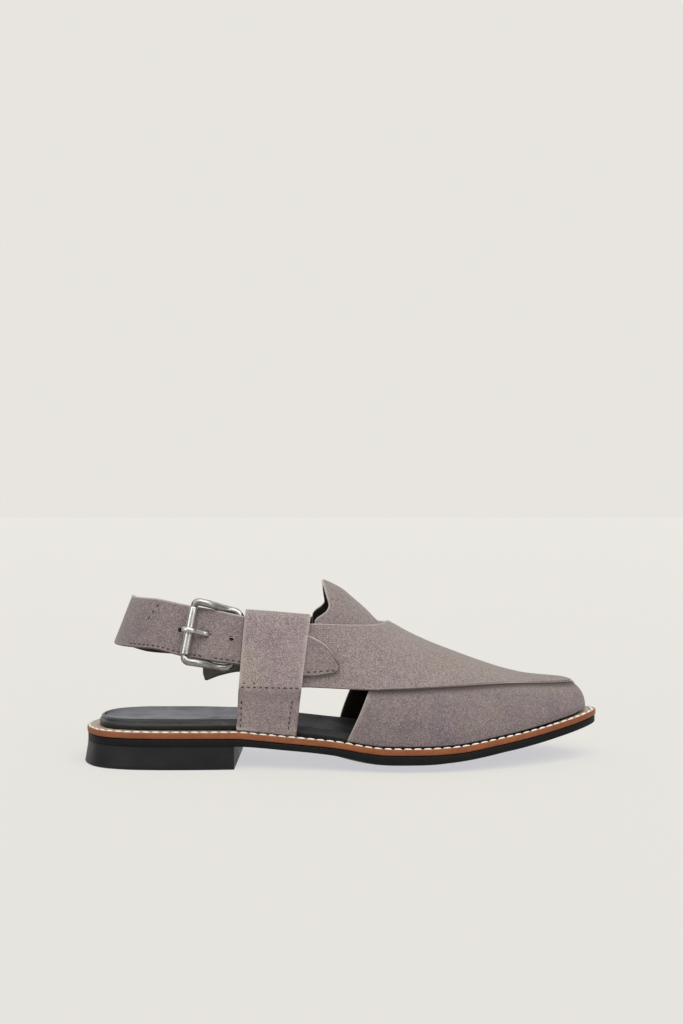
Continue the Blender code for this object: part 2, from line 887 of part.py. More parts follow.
# Stations along the strap's two ends, from its point back and from the heel forward
billet_stations = (
    0.4900, 0.4865, 0.4774, 0.4674, 0.4583, 0.4462, 0.4271,
    0.4070, 0.3858, 0.3637, 0.3425, 0.3224, 0.3012, 0.2801,
)
tail_stations = (0.2801, 0.3012, 0.3224, 0.3435, 0.3657, 0.3878)
heel_steps = 13


def heel_strap_rows():
    """Rows across the heel strap, from the pointed tip round to its inner end."""
    levels = (0.0, 0.2, 0.4, 0.6, 0.8, 1.0)
    rows = []
    for along in billet_stations:
        rows.append([strap_point_at(lateral, along, level) for level in levels])
    for i in range(heel_steps):
        rows.append([strap_station(lateral, 1 - i / heel_steps, level) for level in levels])
    for i in range(heel_steps + 1):
        rows.append([strap_station(medial, i / heel_steps, level) for level in levels])
    for along in tail_stations:
        rows.append([strap_point_at(medial, along, level) for level in levels])
    return rows


buckle_centre = 0.2529
axes_reach = 0.03


def buckle_frame_axes():
    """Origin and axes of the buckle: u forward on the strap, v up across it, n outward."""
    middle = strap_point_at(lateral, buckle_centre, 0.5)
    ahead = strap_point_at(lateral, buckle_centre + axes_reach, 0.5)
    behind = strap_point_at(lateral, buckle_centre - axes_reach, 0.5)
    upper = strap_point_at(lateral, buckle_centre, 0.9)
    lower = strap_point_at(lateral, buckle_centre, 0.1)
    u = (ahead - behind).normalized()
    n = u.cross(upper - lower).normalized()
    v = n.cross(u).normalized()
    return (ahead + behind) / 4 + middle / 2, u, v, n


def local(u, v, n):
    """A point in the buckle's own axes, n positive away from the foot."""
    origin, axis_u, axis_v, axis_n = buckle_frame_axes()
    return origin + axis_u * u + axis_v * v + axis_n * n


pivot_u = buckle_length / 2 - buckle_wire / 2
bar_depth = heel_strap_thickness / 2 + gap + roller_diameter / 2
pivot_depth = heel_strap_thickness / 2 + lay_gap + chape_wall + gap + buckle_bar / 2
arm_v = strap_width / 2 + buckle_margin + buckle_wire / 2


def set_on_buckle(piece, u, v, n, axes=None):
    """Moves a shape to a place on the buckle and turns it to the buckle's axes."""
    _, *own = buckle_frame_axes()
    turn = Matrix(axes or own).transposed().to_4x4()
    piece.matrix_world = Matrix.Translation(local(u, v, n)) @ turn


def tube_mesh(name, points, depth, radii=None, cyclic=False, resolution=2):
    """A wire along points, as a closed mesh."""
    curve = bpy.data.curves.new(name, "CURVE")
    curve.dimensions = "3D"
    curve.bevel_depth = depth
    curve.bevel_resolution = resolution
    curve.use_fill_caps = not cyclic
    spline = curve.splines.new("POLY")
    spline.points.add(len(points) - 1)
    for i, (knot, point) in enumerate(zip(spline.points, points)):
        knot.co = (*point, 1)
        knot.radius = radii[i] if radii else 1.0
    spline.use_cyclic_u = cyclic
    holder = bpy.data.objects.new(name + "_curve", curve)
    bpy.context.scene.collection.objects.link(holder)
    view = bpy.context.evaluated_depsgraph_get()
    view.update()
    data = bpy.data.meshes.new_from_object(holder.evaluated_get(view))
    data.transform(holder.matrix_world)
    mesh = bmesh.new()
    mesh.from_mesh(data)
    bmesh.ops.remove_doubles(mesh, verts=mesh.verts, dist=0.01 * mm)
    bmesh.ops.recalc_face_normals(mesh, faces=mesh.faces)
    bpy.data.objects.remove(holder)
    bpy.data.meshes.remove(data)
    return mesh


def billet_depth(u):
    """Where the strap's middle really is, on the buckle's n axis."""
    origin = local(0, 0, 0)
    point = strap_point_at(lateral, buckle_centre + u / sole_length, 0.5)
    return (point - origin).dot(local(0, 0, 1) - origin)


def roller_n():
    return billet_depth(-pivot_u) + bar_depth


def pivot_n():
    return billet_depth(pivot_u) - pivot_depth


def wire_depth(u):
    """How far out the frame's wire lies: over the strap behind, under it in front."""
    slant = pivot_u - buckle_corner
    t = min(max((u / slant + 1) / 2, 0.0), 1.0)
    return roller_n() + (pivot_n() - roller_n()) * t * t * (3 - 2 * t)


def build_buckle_frame(finish, group):
    """The bent wire frame: outside the strap at the roller, under it at the pivot."""
    points, radii = [], []
    thin = buckle_bar / buckle_wire
    corners = ((-1, 1), (1, 1), (1, -1), (-1, -1))
    for end, top in corners:
        corner = buckle_corner if end == 1 else roller_corner
        centre_u = end * (pivot_u - corner)
        centre_v = top * (arm_v - corner)
        start = {(-1, 1): pi, (1, 1): pi / 2, (1, -1): 0.0, (-1, -1): -pi / 2}[(end, top)]
        for i in range(6):
            angle = start - i / 5 * pi / 2
            u = centre_u + corner * cos(angle)
            v = centre_v + corner * sin(angle)
            points.append(local(u, v, wire_depth(u)))
            radii.append(thin if abs(v) < abs(centre_v) + 0.01 * mm else 1.0)
        if (end, top) in ((-1, 1), (1, -1)):
            far = -end * (pivot_u - (roller_corner if end == 1 else buckle_corner))
            for i in range(1, 5):
                u = centre_u + (far - centre_u) * i / 5
                points.append(local(u, top * arm_v, wire_depth(u)))
                radii.append(1.0)
    mesh = tube_mesh("buckle_frame", points, buckle_wire / 2, radii, cyclic=True)
    return add("buckle_frame", mesh, finish, group)


def build_roller(finish, group):
    """The loose roller on the frame's rear bar."""
    inner = buckle_bar / 2 + gap
    outer = roller_diameter / 2
    half = arm_v - roller_corner - gap
    near = outer - roller_round
    section = [
        (inner, half), (near, half), (outer, half - roller_round),
        (outer, roller_round - half), (near, -half), (inner, -half),
    ]
    return turned("buckle_roller", section, 20, -pivot_u, roller_n(), finish, group)


def turned(name, section, steps, u_at, n_at, finish, group):
    """A ring turned round an axis that runs across the buckle."""
    mesh = bmesh.new()
    made = [mesh.verts.new((r, 0, z)) for r, z in section]
    for near, far in zip(made, made[1:] + made[:1]):
        mesh.edges.new((near, far))
    piece = add(name, mesh, finish, group)
    screw = piece.modifiers.new("turn", "SCREW")
    screw.axis = "Z"
    screw.steps = steps
    screw.render_steps = steps
    screw.use_merge_vertices = True
    screw.merge_threshold = 0.01 * mm
    _, u, v, n = buckle_frame_axes()
    set_on_buckle(piece, u_at, 0, n_at, (u, -n, v))
    return piece


# The prong's shank: share of the way from its hole to the pivot, rise from the pivot's
# level to the strap's middle, and thickness as a share of its wire
prong_shank = (
    (0.864, 0.0, 0.85),
    (0.625, 0.0, 0.95),
    (0.262, 0.046, 1.0),
    (0.162, 0.207, 1.0),
    (0.100, 0.425, 1.0),
    (0.0, 1.0, 1.0),
)
# Over the roller: angle round it and thickness
prong_bend = ((0.61, 1.0), (0.95, 1.05), (1.30, 1.1), (1.65, 1.1))
# Past the roller: run and drop in shares of its diameter, and thickness
prong_tip = ((0.385, 0.058, 1.0), (0.692, 0.192, 0.65))


def build_prong(finish, group, cutters):
    """The prong: an eye on the pivot, a shank under the strap and a tip on the roller."""
    radius = prong_wire / 2
    under = pivot_n()
    middle = billet_depth(prong_hole)
    rest = roller_diameter / 2 + gap + radius
    path = []
    for share_back, rise, wire in prong_shank:
        u = prong_hole + (pivot_u - prong_hole) * share_back
        path.append((u, under + (middle - under) * rise, wire))
    for angle, wire in prong_bend:
        path.append((-pivot_u + rest * cos(angle), roller_n() + rest * sin(angle), wire))
    for run, drop, wire in prong_tip:
        u = -pivot_u - run * roller_diameter
        path.append((u, roller_n() + rest - drop * roller_diameter, wire))
    points = [local(u, 0, n) for u, n, _ in path]
    shank = tube_mesh("buckle_prong", points, radius, [wire for _, _, wire in path])
    piece = add("buckle_prong", shank, finish, group)
    boolean(piece, as_cutter(eye_ring("prong_eye", cutters)), "UNION")
    return piece


def eye_ring(name, group):
    inner = buckle_bar / 2 + gap
    outer = inner + prong_eye_wall
    half = prong_eye_width / 2
    section = [(inner, half), (outer, half), (outer, -half), (inner, -half)]
    return turned(name, section, 14, pivot_u, pivot_n(), None, group)


# Rows of the chape on the last: shares of the sole's length behind the outer strap's end
chape_rows = (0.003, 0.022, 0.041)
chape_wrap = 1.25 * pi


def chape_point(back, level, offset):
    """A point of the chape's flat ends, which lie in line with the outer strap."""
    along = wing_end - back
    centre = strap_point_at(lateral, along, 0.5)
    return skin(along, lateral, centre.z + level * chape_width / 2, offset)


def build_chape(finish, group, cutters):
    """The folded tab that holds the pivot, slotted for the prong."""
    ring = buckle_bar / 2 + gap + chape_wall / 2
    low = outer_low + chape_wall / 2
    high = outer_high - chape_wall / 2
    levels = (-1, 0, 1)
    rows = [[chape_point(back, level, high) for level in levels] for back in chape_rows]
    for i in range(12):
        angle = pi / 2 + i / 11 * chape_wrap
        u = pivot_u + ring * cos(angle)
        n = pivot_n() + ring * sin(angle)
        rows.append([local(u, level * chape_width / 2, n) for level in levels])
    rows += [[chape_point(back, level, low) for level in levels] for back in chape_rows[::-1]]
    piece = solid_sheet_centred("buckle_chape", rows, chape_wall, finish, group)
    slot = box_cutter("chape_slot", (chape_slot_length, chape_slot_width, cutter_reach), cutters)
    set_on_buckle(slot, pivot_u - chape_slot_back, 0, pivot_n())
    boolean(piece, slot, "DIFFERENCE")
    return piece


def box_cutter(name, size, group):
    mesh = bmesh.new()
    bmesh.ops.create_cube(mesh, size=1.0)
    bmesh.ops.scale(mesh, vec=size, verts=mesh.verts)
    return as_cutter(add(name, mesh, None, group))


def rod_cutter(name, radius, length, group):
    mesh = bmesh.new()
    bmesh.ops.create_cone(
        mesh, cap_ends=True, segments=12, radius1=radius, radius2=radius, depth=length)
    return as_cutter(add(name, mesh, None, group))


def build_heel_strap(finish, group, cutters):
    """The heel strap with its pointed billet and punched holes."""
    rows = heel_strap_rows()
    piece = solid_sheet_centred("heel_strap", rows, heel_strap_thickness, finish, group)
    for name, side in (("rear_hole", -1), ("front_hole", 1)):
        hole = rod_cutter(name, hole_radius, cutter_reach, cutters)
        set_on_buckle(hole, prong_hole + side * hole_spacing, 0, 0)
        boolean(piece, hole, "DIFFERENCE")
    slot_size = (prong_slot_length, prong_wire + 2 * gap, cutter_reach)
    slot = box_cutter("prong_slot", slot_size, cutters)
    set_on_buckle(slot, prong_hole, 0, 0)
    boolean(piece, slot, "DIFFERENCE")
    return piece


def main():
    for old in list(bpy.data.objects):
        bpy.data.objects.remove(old, do_unlink=True)
    group = collection("peshawari_chappal")
    cutters = collection("cutters")
    rubber = material("rubber", (0.018, 0.017, 0.019), 0.55)
    welt = material("welt_leather", (0.24, 0.10, 0.05), 0.5)
    lining = material("lining_leather", (0.025, 0.024, 0.026), 0.45)
    suede = material("suede", (0.28, 0.22, 0.20), 0.95)
    metal = material("metal", (0.33, 0.32, 0.31), 0.3, 1.0)
    build_outsole(rubber, group)
    build_heel(rubber, group)
    build_welt(welt, group)
    build_footbed(lining, group)
    build_upper(suede, group, cutters)
    build_tongue(suede, group)
    build_loop("loop_lateral", lateral, lateral_inner, lateral_outer, suede, group)
    build_loop("loop_medial", medial, medial_inner, medial_outer, suede, group)
    build_heel_strap(suede, group, cutters)
    build_buckle_frame(metal, group)
    build_roller(metal, group)
    build_prong(metal, group, cutters)
    build_chape(suede, group, cutters)


main()
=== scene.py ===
import bpy
import bmesh
import json
from bisect import bisect_right
from math import acos, asin, cos, exp, pi, radians, sin, sqrt
from mathutils import Matrix, Vector, kdtree, noise

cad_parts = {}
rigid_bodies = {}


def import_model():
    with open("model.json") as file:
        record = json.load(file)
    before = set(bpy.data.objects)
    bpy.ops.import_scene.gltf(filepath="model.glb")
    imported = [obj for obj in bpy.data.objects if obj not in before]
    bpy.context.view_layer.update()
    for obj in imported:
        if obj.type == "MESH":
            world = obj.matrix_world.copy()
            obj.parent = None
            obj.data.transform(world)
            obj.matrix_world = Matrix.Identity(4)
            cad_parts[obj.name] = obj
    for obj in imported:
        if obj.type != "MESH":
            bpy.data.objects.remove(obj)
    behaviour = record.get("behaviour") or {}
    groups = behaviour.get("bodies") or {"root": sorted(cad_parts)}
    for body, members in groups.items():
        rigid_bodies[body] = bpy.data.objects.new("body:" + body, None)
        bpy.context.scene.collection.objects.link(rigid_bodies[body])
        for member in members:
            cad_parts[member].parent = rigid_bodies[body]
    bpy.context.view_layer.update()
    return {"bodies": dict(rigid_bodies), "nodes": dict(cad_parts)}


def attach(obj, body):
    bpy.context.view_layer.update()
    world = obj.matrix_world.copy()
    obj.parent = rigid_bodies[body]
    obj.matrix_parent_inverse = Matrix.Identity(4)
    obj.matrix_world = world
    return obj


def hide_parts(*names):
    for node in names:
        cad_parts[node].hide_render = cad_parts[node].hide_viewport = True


mm = 0.001
gap = 0.3 * mm  # between neighbouring pieces
lateral, medial = -1, 1  # the outer side, which faces the camera, and the inner side

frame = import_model()
body = sorted(frame["bodies"])[0]
print("frame loaded", len(frame["nodes"]), "nodes")


def show(name, data):
    piece = bpy.data.objects.new(name, data)
    bpy.context.scene.collection.objects.link(piece)
    return piece


def meshData(name, mesh):  # an edit mesh as the data of an object
    data = bpy.data.meshes.new(name)
    mesh.to_mesh(data)
    mesh.free()
    return data


# camera level with the shoe, square to its outer side
view = {"place": (0.1017, -0.716, 0.141), "lens": 44.0}
eye = bpy.data.cameras.new("camera")
eye.lens = view["lens"]
eye.clip_start = 0.01
camera = show("camera", eye)
camera.location = view["place"]
camera.rotation_euler = (radians(90), 0, 0)
bpy.context.scene.camera = camera

# the sizes that the solids were drawn with; lengths along the sole are shares of it
sole = {"length": 292 * mm, "ballWidth": 91.5 * mm, "heelWidth": 65 * mm, "heelLength": 86 * mm,
        "heelHeight": 12.2 * mm, "flare": 1.9 * mm, "breastFlare": 0.25, "outsole": 4.2 * mm,
        "inset": 0.5 * mm, "welt": 3.4 * mm, "toeSpring": 20.2 * mm, "camber": 4.4 * mm,
        "flat": 0.5, "edge": 0.7 * mm, "stations": 220}
footbed = {"thickness": 5.6 * mm, "inset": 7.0 * mm, "round": 2.6 * mm, "dish": 1.2 * mm}
last = {"instep": 74.6 * mm, "margin": 5.6 * mm, "toeMargin": 7.6 * mm, "ankle": 69 * mm,
        "bulgeHeight": 24 * mm, "ridgeEnd": 0.9134, "toeStart": 0.7785, "baseGap": 0.8 * mm}
straps = {"wall": 1.8 * mm, "lap": 0.5 * mm, "seam": 44.3 * mm, "wingTop": 76.6 * mm,
          "wingEnd": 0.3531, "footFront": 0.8913, "hiddenLap": 0.045, "edgeSteps": 24,
          "innerBend": 1.5, "innerStart": 0.6275, "innerEnd": 0.2126, "innerRound": 0.009,
          "innerRise": 0.13, "innerClear": 0.1 * mm, "seamShade": 1.3 * mm,
          "unevenness": (0.25 * mm, 21 * mm, 3.0)}
tongue = {"side": 61.8 * mm, "hem": 56.7 * mm, "back": 0.461, "front": 0.6526, "wall": 1.8 * mm,
          "edge": 0.8 * mm}
loop = {"width": 32.5 * mm, "wall": 1.5 * mm, "top": {lateral: 86.2 * mm, medial: 80.6 * mm},
        "lean": 7.0 * mm, "foot": 20.5 * mm, "slope": 2.9 * mm, "join": 42.4 * mm, "blend": 3.5 * mm,
        "bend": 5.0 * mm, "spreadTop": 2.4 * mm, "shiftTop": 1.1 * mm, "edge": 0.55 * mm,
        "base": {lateral: 0.3541, medial: 0.3473}, "unevenness": (0.12 * mm, 16 * mm, 5.0)}
heelStrap = {"thickness": 2.6 * mm, "width": 25.8 * mm, "rise": 80.5 * mm, "join": 0.2630,
             "backLow": 0.0551, "backHigh": 0.0913, "round": 2.2, "tip": 0.4900, "blunt": 0.0035,
             "tail": 0.3878, "edge": 0.9 * mm, "hole": 1.25 * mm, "spacing": 14.3 * mm,
             "slot": 4.4 * mm, "slotShift": 0.9 * mm, "unevenness": (0.2 * mm, 14 * mm, 8.0)}
buckle = {"wire": 4.2 * mm, "bar": 3.0 * mm, "length": 30.0 * mm, "margin": 1.6 * mm,
          "corner": 4.6 * mm, "rollerCorner": 3.2 * mm, "roller": 5.2 * mm, "rollerEdge": 0.5 * mm,
          "prong": 3.0 * mm, "prongHole": -3.9 * mm, "eyeWall": 0.75 * mm, "eyeHalf": 2.0 * mm,
          "prongPoint": (0.35 * mm, 0.12 * mm, 0.35),
          "centre": 0.2560, "taper": 0.07, "reach": 0.03}
chape = {"wall": 0.75 * mm, "width": 21.5 * mm, "near": 0.003, "reach": 0.038, "wrap": 1.25 * pi,
         "slot": (12 * mm, 6.4 * mm), "slotBack": 3.4 * mm, "edge": 0.3 * mm}
cutDepth = 14 * mm

# how far out from the last each layer of the straps lies
layers = {"lay": 0.5 * mm}
layers["outerBack"] = straps["wall"] - straps["lap"]
layers["outerFace"] = layers["outerBack"] + straps["wall"]
layers["lateralStrap"] = layers["outerFace"] + layers["lay"] + heelStrap["thickness"] / 2
layers["medialStrap"] = straps["wall"] + layers["lay"] + heelStrap["thickness"] / 2


def table(columns, *rows):  # columns of numbers and their slopes, for a curve without overshoot
    names = columns.split()
    data = {name: [row[i] for row in rows] for i, name in enumerate(names)}
    key = data[names[0]]
    data["key"] = key
    data["slopes"] = {}
    for name in names[1:]:
        values = data[name]
        steps = [(values[i + 1] - values[i]) / (key[i + 1] - key[i]) for i in range(len(key) - 1)]
        inner = []
        for before, after in zip(steps, steps[1:]):
            inner.append(0.0 if before * after <= 0 else 2 * before * after / (before + after))
        data["slopes"][name] = [steps[0]] + inner + [steps[-1]]
    return data


def read(rows, column, at):
    key, values = rows["key"], rows[column]
    if at <= key[0]:
        return values[0]
    if at >= key[-1]:
        return values[-1]
    i = bisect_right(key, at) - 1
    span = key[i + 1] - key[i]
    t = (at - key[i]) / span
    leaving, reaching = rows["slopes"][column][i:i + 2]
    low = values[i] * (1 + 2 * t) * (1 - t) ** 2 + values[i + 1] * (3 - 2 * t) * t * t
    return low + span * (leaving * t * (1 - t) ** 2 - reaching * (1 - t) * t * t)


def turnOf(along):  # a station along the sole as an even turn round its outline
    return acos(1 - 2 * min(max(along, 0.0), 1.0)) / pi


def alongOf(turn):
    return (1 - cos(pi * turn)) / 2


outlineRows = (
    (0.000, 0.000, 0.000, 0.000, 0.000),
    (0.010, 0.205, 0.205, 0.000, 0.000),
    (0.032, 0.350, 0.350, 0.000, 0.000),
    (0.064, 0.438, 0.438, 0.000, 0.000),
    (0.114, 0.492, 0.492, 0.000, 0.000),
    (0.181, 0.508, 0.500, 0.000, 0.000),
    (0.294, 0.492, 0.462, 0.000, 0.000),
    (0.370, 0.000, 0.000, 0.361, 0.301),
    (0.438, 0.000, 0.000, 0.388, 0.306),
    (0.507, 0.000, 0.000, 0.426, 0.361),
    (0.558, 0.000, 0.000, 0.454, 0.437),
    (0.609, 0.000, 0.000, 0.464, 0.503),
    (0.661, 0.000, 0.000, 0.459, 0.541),
    (0.712, 0.000, 0.000, 0.437, 0.546),
    (0.763, 0.000, 0.000, 0.393, 0.525),
    (0.815, 0.000, 0.000, 0.328, 0.486),
    (0.866, 0.000, 0.000, 0.250, 0.437),
    (0.911, 0.000, 0.000, 0.168, 0.383),
    (0.952, 0.000, 0.000, 0.084, 0.318),
    (0.980, 0.000, 0.000, 0.006, 0.248),
    (1.000, 0.000, 0.000, -0.120, 0.120),
)
outline = table("turn heel_lateral heel_medial ball_lateral ball_medial",
                *[(turnOf(along), *widths) for along, *widths in outlineRows])

profile = table(
    "along heel spring camber thickness",
    (0.000, 1.00, 0.00, 0.00, 1.00),
    (0.2942, 1.00, 0.00, 0.00, 0.96),
    (0.3526, 0.90, 0.00, 0.08, 0.86),
    (0.4211, 0.72, 0.00, 0.30, 0.86),
    (0.4795, 0.46, 0.00, 0.72, 0.92),
    (0.5107, 0.27, 0.00, 0.97, 0.98),
    (0.5419, 0.115, 0.00, 1.00, 1.10),
    (0.5681, 0.030, 0.00, 1.00, 1.16),
    (0.5950, 0.00, 0.00, 1.00, 1.19),
    (0.6400, 0.00, 0.00, 1.01, 1.18),
    (0.6647, 0.00, 0.008, 1.03, 1.15),
    (0.6900, 0.00, 0.026, 1.08, 1.09),
    (0.7191, 0.00, 0.06, 1.15, 1.00),
    (0.7805, 0.00, 0.20, 1.08, 1.00),
    (0.8429, 0.00, 0.41, 0.70, 1.00),
    (0.9114, 0.00, 0.67, 0.30, 0.97),
    (1.000, 0.00, 1.00, 0.00, 0.90),
)

lastRows = table(
    "along ridge lean bulge_lateral bulge_medial fullness",
    (0.1845, 1.515, 0.020, 0.085, 0.075, 2.30),
    (0.2398, 1.508, 0.024, 0.098, 0.110, 2.30),
    (0.2902, 1.501, 0.028, 0.105, 0.145, 2.30),
    (0.3586, 1.475, 0.036, 0.100, 0.165, 2.25),
    (0.4271, 1.428, 0.040, 0.070, 0.160, 2.15),
    (0.4613, 1.381, 0.038, 0.062, 0.145, 2.05),
    (0.4956, 1.315, 0.035, 0.055, 0.120, 2.00),
    (0.5197, 1.237, 0.030, 0.050, 0.100, 2.00),
    (0.5439, 1.153, 0.025, 0.045, 0.080, 2.00),
    (0.5671, 1.062, 0.020, 0.040, 0.060, 2.02),
    (0.5912, 1.000, 0.015, 0.036, 0.050, 2.05),
    (0.6255, 0.924, 0.010, 0.030, 0.040, 2.08),
    (0.6738, 0.838, 0.006, 0.020, 0.030, 2.12),
    (0.7211, 0.768, 0.003, 0.015, 0.020, 2.16),
    (0.7694, 0.698, 0.000, 0.010, 0.012, 2.20),
    (0.8178, 0.637, 0.000, 0.005, 0.006, 2.25),
    (0.8621, 0.598, 0.000, 0.000, 0.000, 2.30),
    (0.9134, 0.578, 0.000, 0.000, 0.000, 2.40),
    (1.000, 0.560, 0.000, 0.000, 0.000, 2.40),
)


sideName = {lateral: "lateral", medial: "medial"}


def place(along):  # from a share of the sole's length to x, and back
    return along * sole["length"] - sole["heelLength"] / 2


def share(x):
    return (x + sole["heelLength"] / 2) / sole["length"]


def sideOfSole(turn, side):
    half = read(outline, "heel_" + sideName[side], turn) * sole["heelWidth"]
    half += read(outline, "ball_" + sideName[side], turn) * sole["ballWidth"]
    return Vector((place(alongOf(turn)), side * half))


def rim(turn, side, inset):  # a point inside the sole's outline
    step = 0.004
    ahead = sideOfSole(min(turn + step, 1), side)
    behind = sideOfSole(max(turn - step, 0), side)
    run = (ahead - behind).normalized()
    if turn <= 0 or turn >= 1:
        run = Vector((0, side if turn <= 0 else -side))
    inward = Vector((run.y, -run.x)) * side
    return sideOfSole(turn, side) + inward * inset


def across(x, y):  # from -1 at the outer edge of the sole to 1 at its inner edge
    turn = turnOf(share(x))
    low = sideOfSole(turn, lateral).y
    high = sideOfSole(turn, medial).y
    if high - low < 1 * mm:
        return 0.0
    return min(max((2 * y - low - high) / (high - low), -1.0), 1.0)


def treadZ(x, y):
    along = share(x)
    lift = max(abs(across(x, y)) - sole["flat"], 0) / (1 - sole["flat"])
    centre = read(profile, "heel", along) * (sole["heelHeight"] + gap)
    centre += read(profile, "spring", along) * sole["toeSpring"]
    return centre + read(profile, "camber", along) * sole["camber"] * lift


def outsoleTop(x, y):
    return treadZ(x, y) + sole["outsole"] * read(profile, "thickness", share(x))


def weltBottom(x, y):
    return outsoleTop(x, y) + gap


def weltTop(x, y):
    return weltBottom(x, y) + sole["welt"]


def footbedBottom(x, y):
    return weltTop(x, y) + layers["lay"]


def footbedTop(x, y):
    return footbedBottom(x, y) + footbed["thickness"]


def marginOf(along):  # from the sole's edge in to the foot of the upper
    nearTip = max(along - last["toeStart"], 0) / (1 - last["toeStart"])
    return last["margin"] + (last["toeMargin"] - last["margin"]) * nearTip


def ridgeShare(along):  # towards the toe the ridge runs ahead more slowly than the base
    if along <= last["toeStart"]:
        return along
    q = (along - last["toeStart"]) / (1 - last["toeStart"])
    k = (1 - last["toeStart"]) / (last["ridgeEnd"] - last["toeStart"])
    return last["toeStart"] + (last["ridgeEnd"] - last["toeStart"]) * (k * q - (k - 1) * q * q)


def lastFrame(along, side):
    base = rim(turnOf(along), side, marginOf(along))
    top = ridgeShare(along)
    turn = turnOf(top)
    centre = (sideOfSole(turn, lateral) + sideOfSole(turn, medial)) / 2
    ridge = centre + Vector((0, read(lastRows, "lean", top) * last["ankle"]))
    face = rim(turnOf(along), side, marginOf(along) - layers["outerFace"])
    low = max(weltTop(base.x, base.y), weltTop(face.x, face.y)) + last["baseGap"]
    high = read(lastRows, "ridge", top) * last["instep"]
    bulge = read(lastRows, "bulge_" + sideName[side], top) * last["ankle"]
    return base, ridge, low, high, bulge, read(lastRows, "fullness", top)


def lastPoint(along, w):  # w runs over the last from -1 at the outer base to 1 at the inner one
    side = lateral if w < 0 else medial
    base, ridge, low, high, bulge, fullness = lastFrame(along, side)
    angle = (1 - min(abs(w), 1.0)) * pi / 2
    out = max(cos(angle), 0.0) ** (2 / fullness)
    up = sin(angle) ** (2 / fullness)
    z = low + (high - low) * up
    rise = min((z - low) / last["bulgeHeight"], 1.0)
    swell = bulge / (base - ridge).length * rise * rise * (3 - 2 * rise)
    plan = ridge + (base - ridge) * out * (1 + swell)
    return Vector((plan.x, plan.y, z))


def wAt(along, side, z):  # the w at which the last reaches a height
    _, _, low, high, _, fullness = lastFrame(along, side)
    up = min(max((z - low) / (high - low), 0.0), 1.0)
    return side * (1 - asin(up ** (fullness / 2)) * 2 / pi)


def lastNormal(along, w):
    step = 0.01
    run = lastPoint(along + step, w) - lastPoint(along - step, w)
    climb = lastPoint(along, w - step) - lastPoint(along, w + step)
    return run.cross(climb).normalized() * -1


def skin(along, side, z, offset):  # a point at height z, off the last by offset
    level = z
    for _ in range(5):
        w = wAt(along, side, level)
        w = side * min(max(abs(w), 0.03), 0.985)
        point = lastPoint(along, w) + lastNormal(along, w) * offset
        level += z - point.z
    return point


def insetOf(turn, inset):
    if inset < footbed["inset"]:
        return inset
    return inset + marginOf(alongOf(turn)) - last["margin"]


# where the wings leave the panel, at its base and on its ridge
rootEdges = table(
    "side base ridge",
    (lateral, 0.5030, 0.5850),
    (medial, 0.4873, 0.5912),
)


def rootLine(along, w, side):  # one step towards a strap's rear edge
    z = lastPoint(along, w).z
    low = lastFrame(along, side)[2]
    up = min((z - low) / (last["instep"] - low), 1.0)
    if side == medial:
        up = max(up, 0.0) ** straps["innerBend"]
    first = read(rootEdges, "base", side)
    return first + (read(rootEdges, "ridge", side) - first) * up


def rootAt(w, side):
    along = read(rootEdges, "ridge", side)
    for _ in range(8):
        along = rootLine(along, w, side)
    return along


def rootStart(w):
    side = lateral if w < 0 else medial
    along = rootAt(w, side)
    if side == medial:
        along += straps["hiddenLap"] * min(abs(w) * 3, 1.0)
    return along


wingEdges = table(
    "along top seam",
    (0.2126, 0.945, 0.890),
    (0.2549, 0.985, 0.980),
    (0.2902, 1.015, 1.018),
    (0.3516, 1.018, 1.026),
    (0.4372, 1.030, 1.020),
    (0.5026, 1.015, 1.000),
    (0.5640, 1.002, 0.982),
    (0.5912, 1.005, 0.980),
    (0.7483, 0.974, 0.982),
    (0.8490, 0.974, 0.957),
    (0.8993, 0.974, 0.942),
    (1.0000, 0.974, 0.925),
)


def wingTopAt(along):
    return read(wingEdges, "top", along) * straps["wingTop"]


def wingSeamAt(along):
    return read(wingEdges, "seam", along) * straps["seam"]


def resample(path, count):  # evenly spaced along the surface
    points = [lastPoint(*pair) for pair in path]
    lengths = [0.0]
    for near, far in zip(points, points[1:]):
        lengths.append(lengths[-1] + (far - near).length)
    made = []
    for i in range(count + 1):
        at = lengths[-1] * i / count
        k = min(max(bisect_right(lengths, at) - 1, 0), len(path) - 2)
        span = lengths[k + 1] - lengths[k]
        t = (at - lengths[k]) / span if span > 0 else 0.0
        made.append(tuple(a + (b - a) * t for a, b in zip(path[k], path[k + 1])))
    return made


def outerStrapEdges():
    steps = straps["edgeSteps"]
    innerRear = [(rootAt(1 - i / steps, medial), 1 - i / steps) for i in range(steps + 1)]
    ridge = innerRear[-1][0]
    outerRear = [innerRear[-1]]
    for i in range(1, steps + 1):
        along = ridge + (straps["wingEnd"] - ridge) * i / steps
        outerRear.append((along, wAt(along, lateral, wingTopAt(along))))
    tipW = wAt(1.0, medial, wingSeamAt(1.0))
    innerFront = []
    for i in range(steps + 1):
        along = straps["footFront"] + (1 - straps["footFront"]) * sin(i / steps * pi / 2)
        innerFront.append((along, 1 + (tipW - 1) * i / steps))
    outerFront = []
    for i in range(2 * steps + 1):
        along = 1 + (straps["wingEnd"] - 1) * (i / (2 * steps)) ** 1.3
        outerFront.append((along, wAt(along, lateral, wingSeamAt(along))))
    return innerRear, innerFront, outerRear, outerFront


tongueEdge = table(
    "height lateral medial",
    (0.770, 0.4423, 0.4360),
    (1.060, 0.4423, 0.4360),
    (1.090, 0.4430, 0.4365),
    (1.112, 0.4470, 0.4390),
    (1.136, 0.4570, 0.4440),
    (1.165, 0.4660, 0.4530),
    (1.205, 0.4700, 0.4590),
    (1.254, 0.4670, 0.4580),
    (1.313, 0.4630, 0.4575),
    (1.375, 0.4590, 0.4590),
)


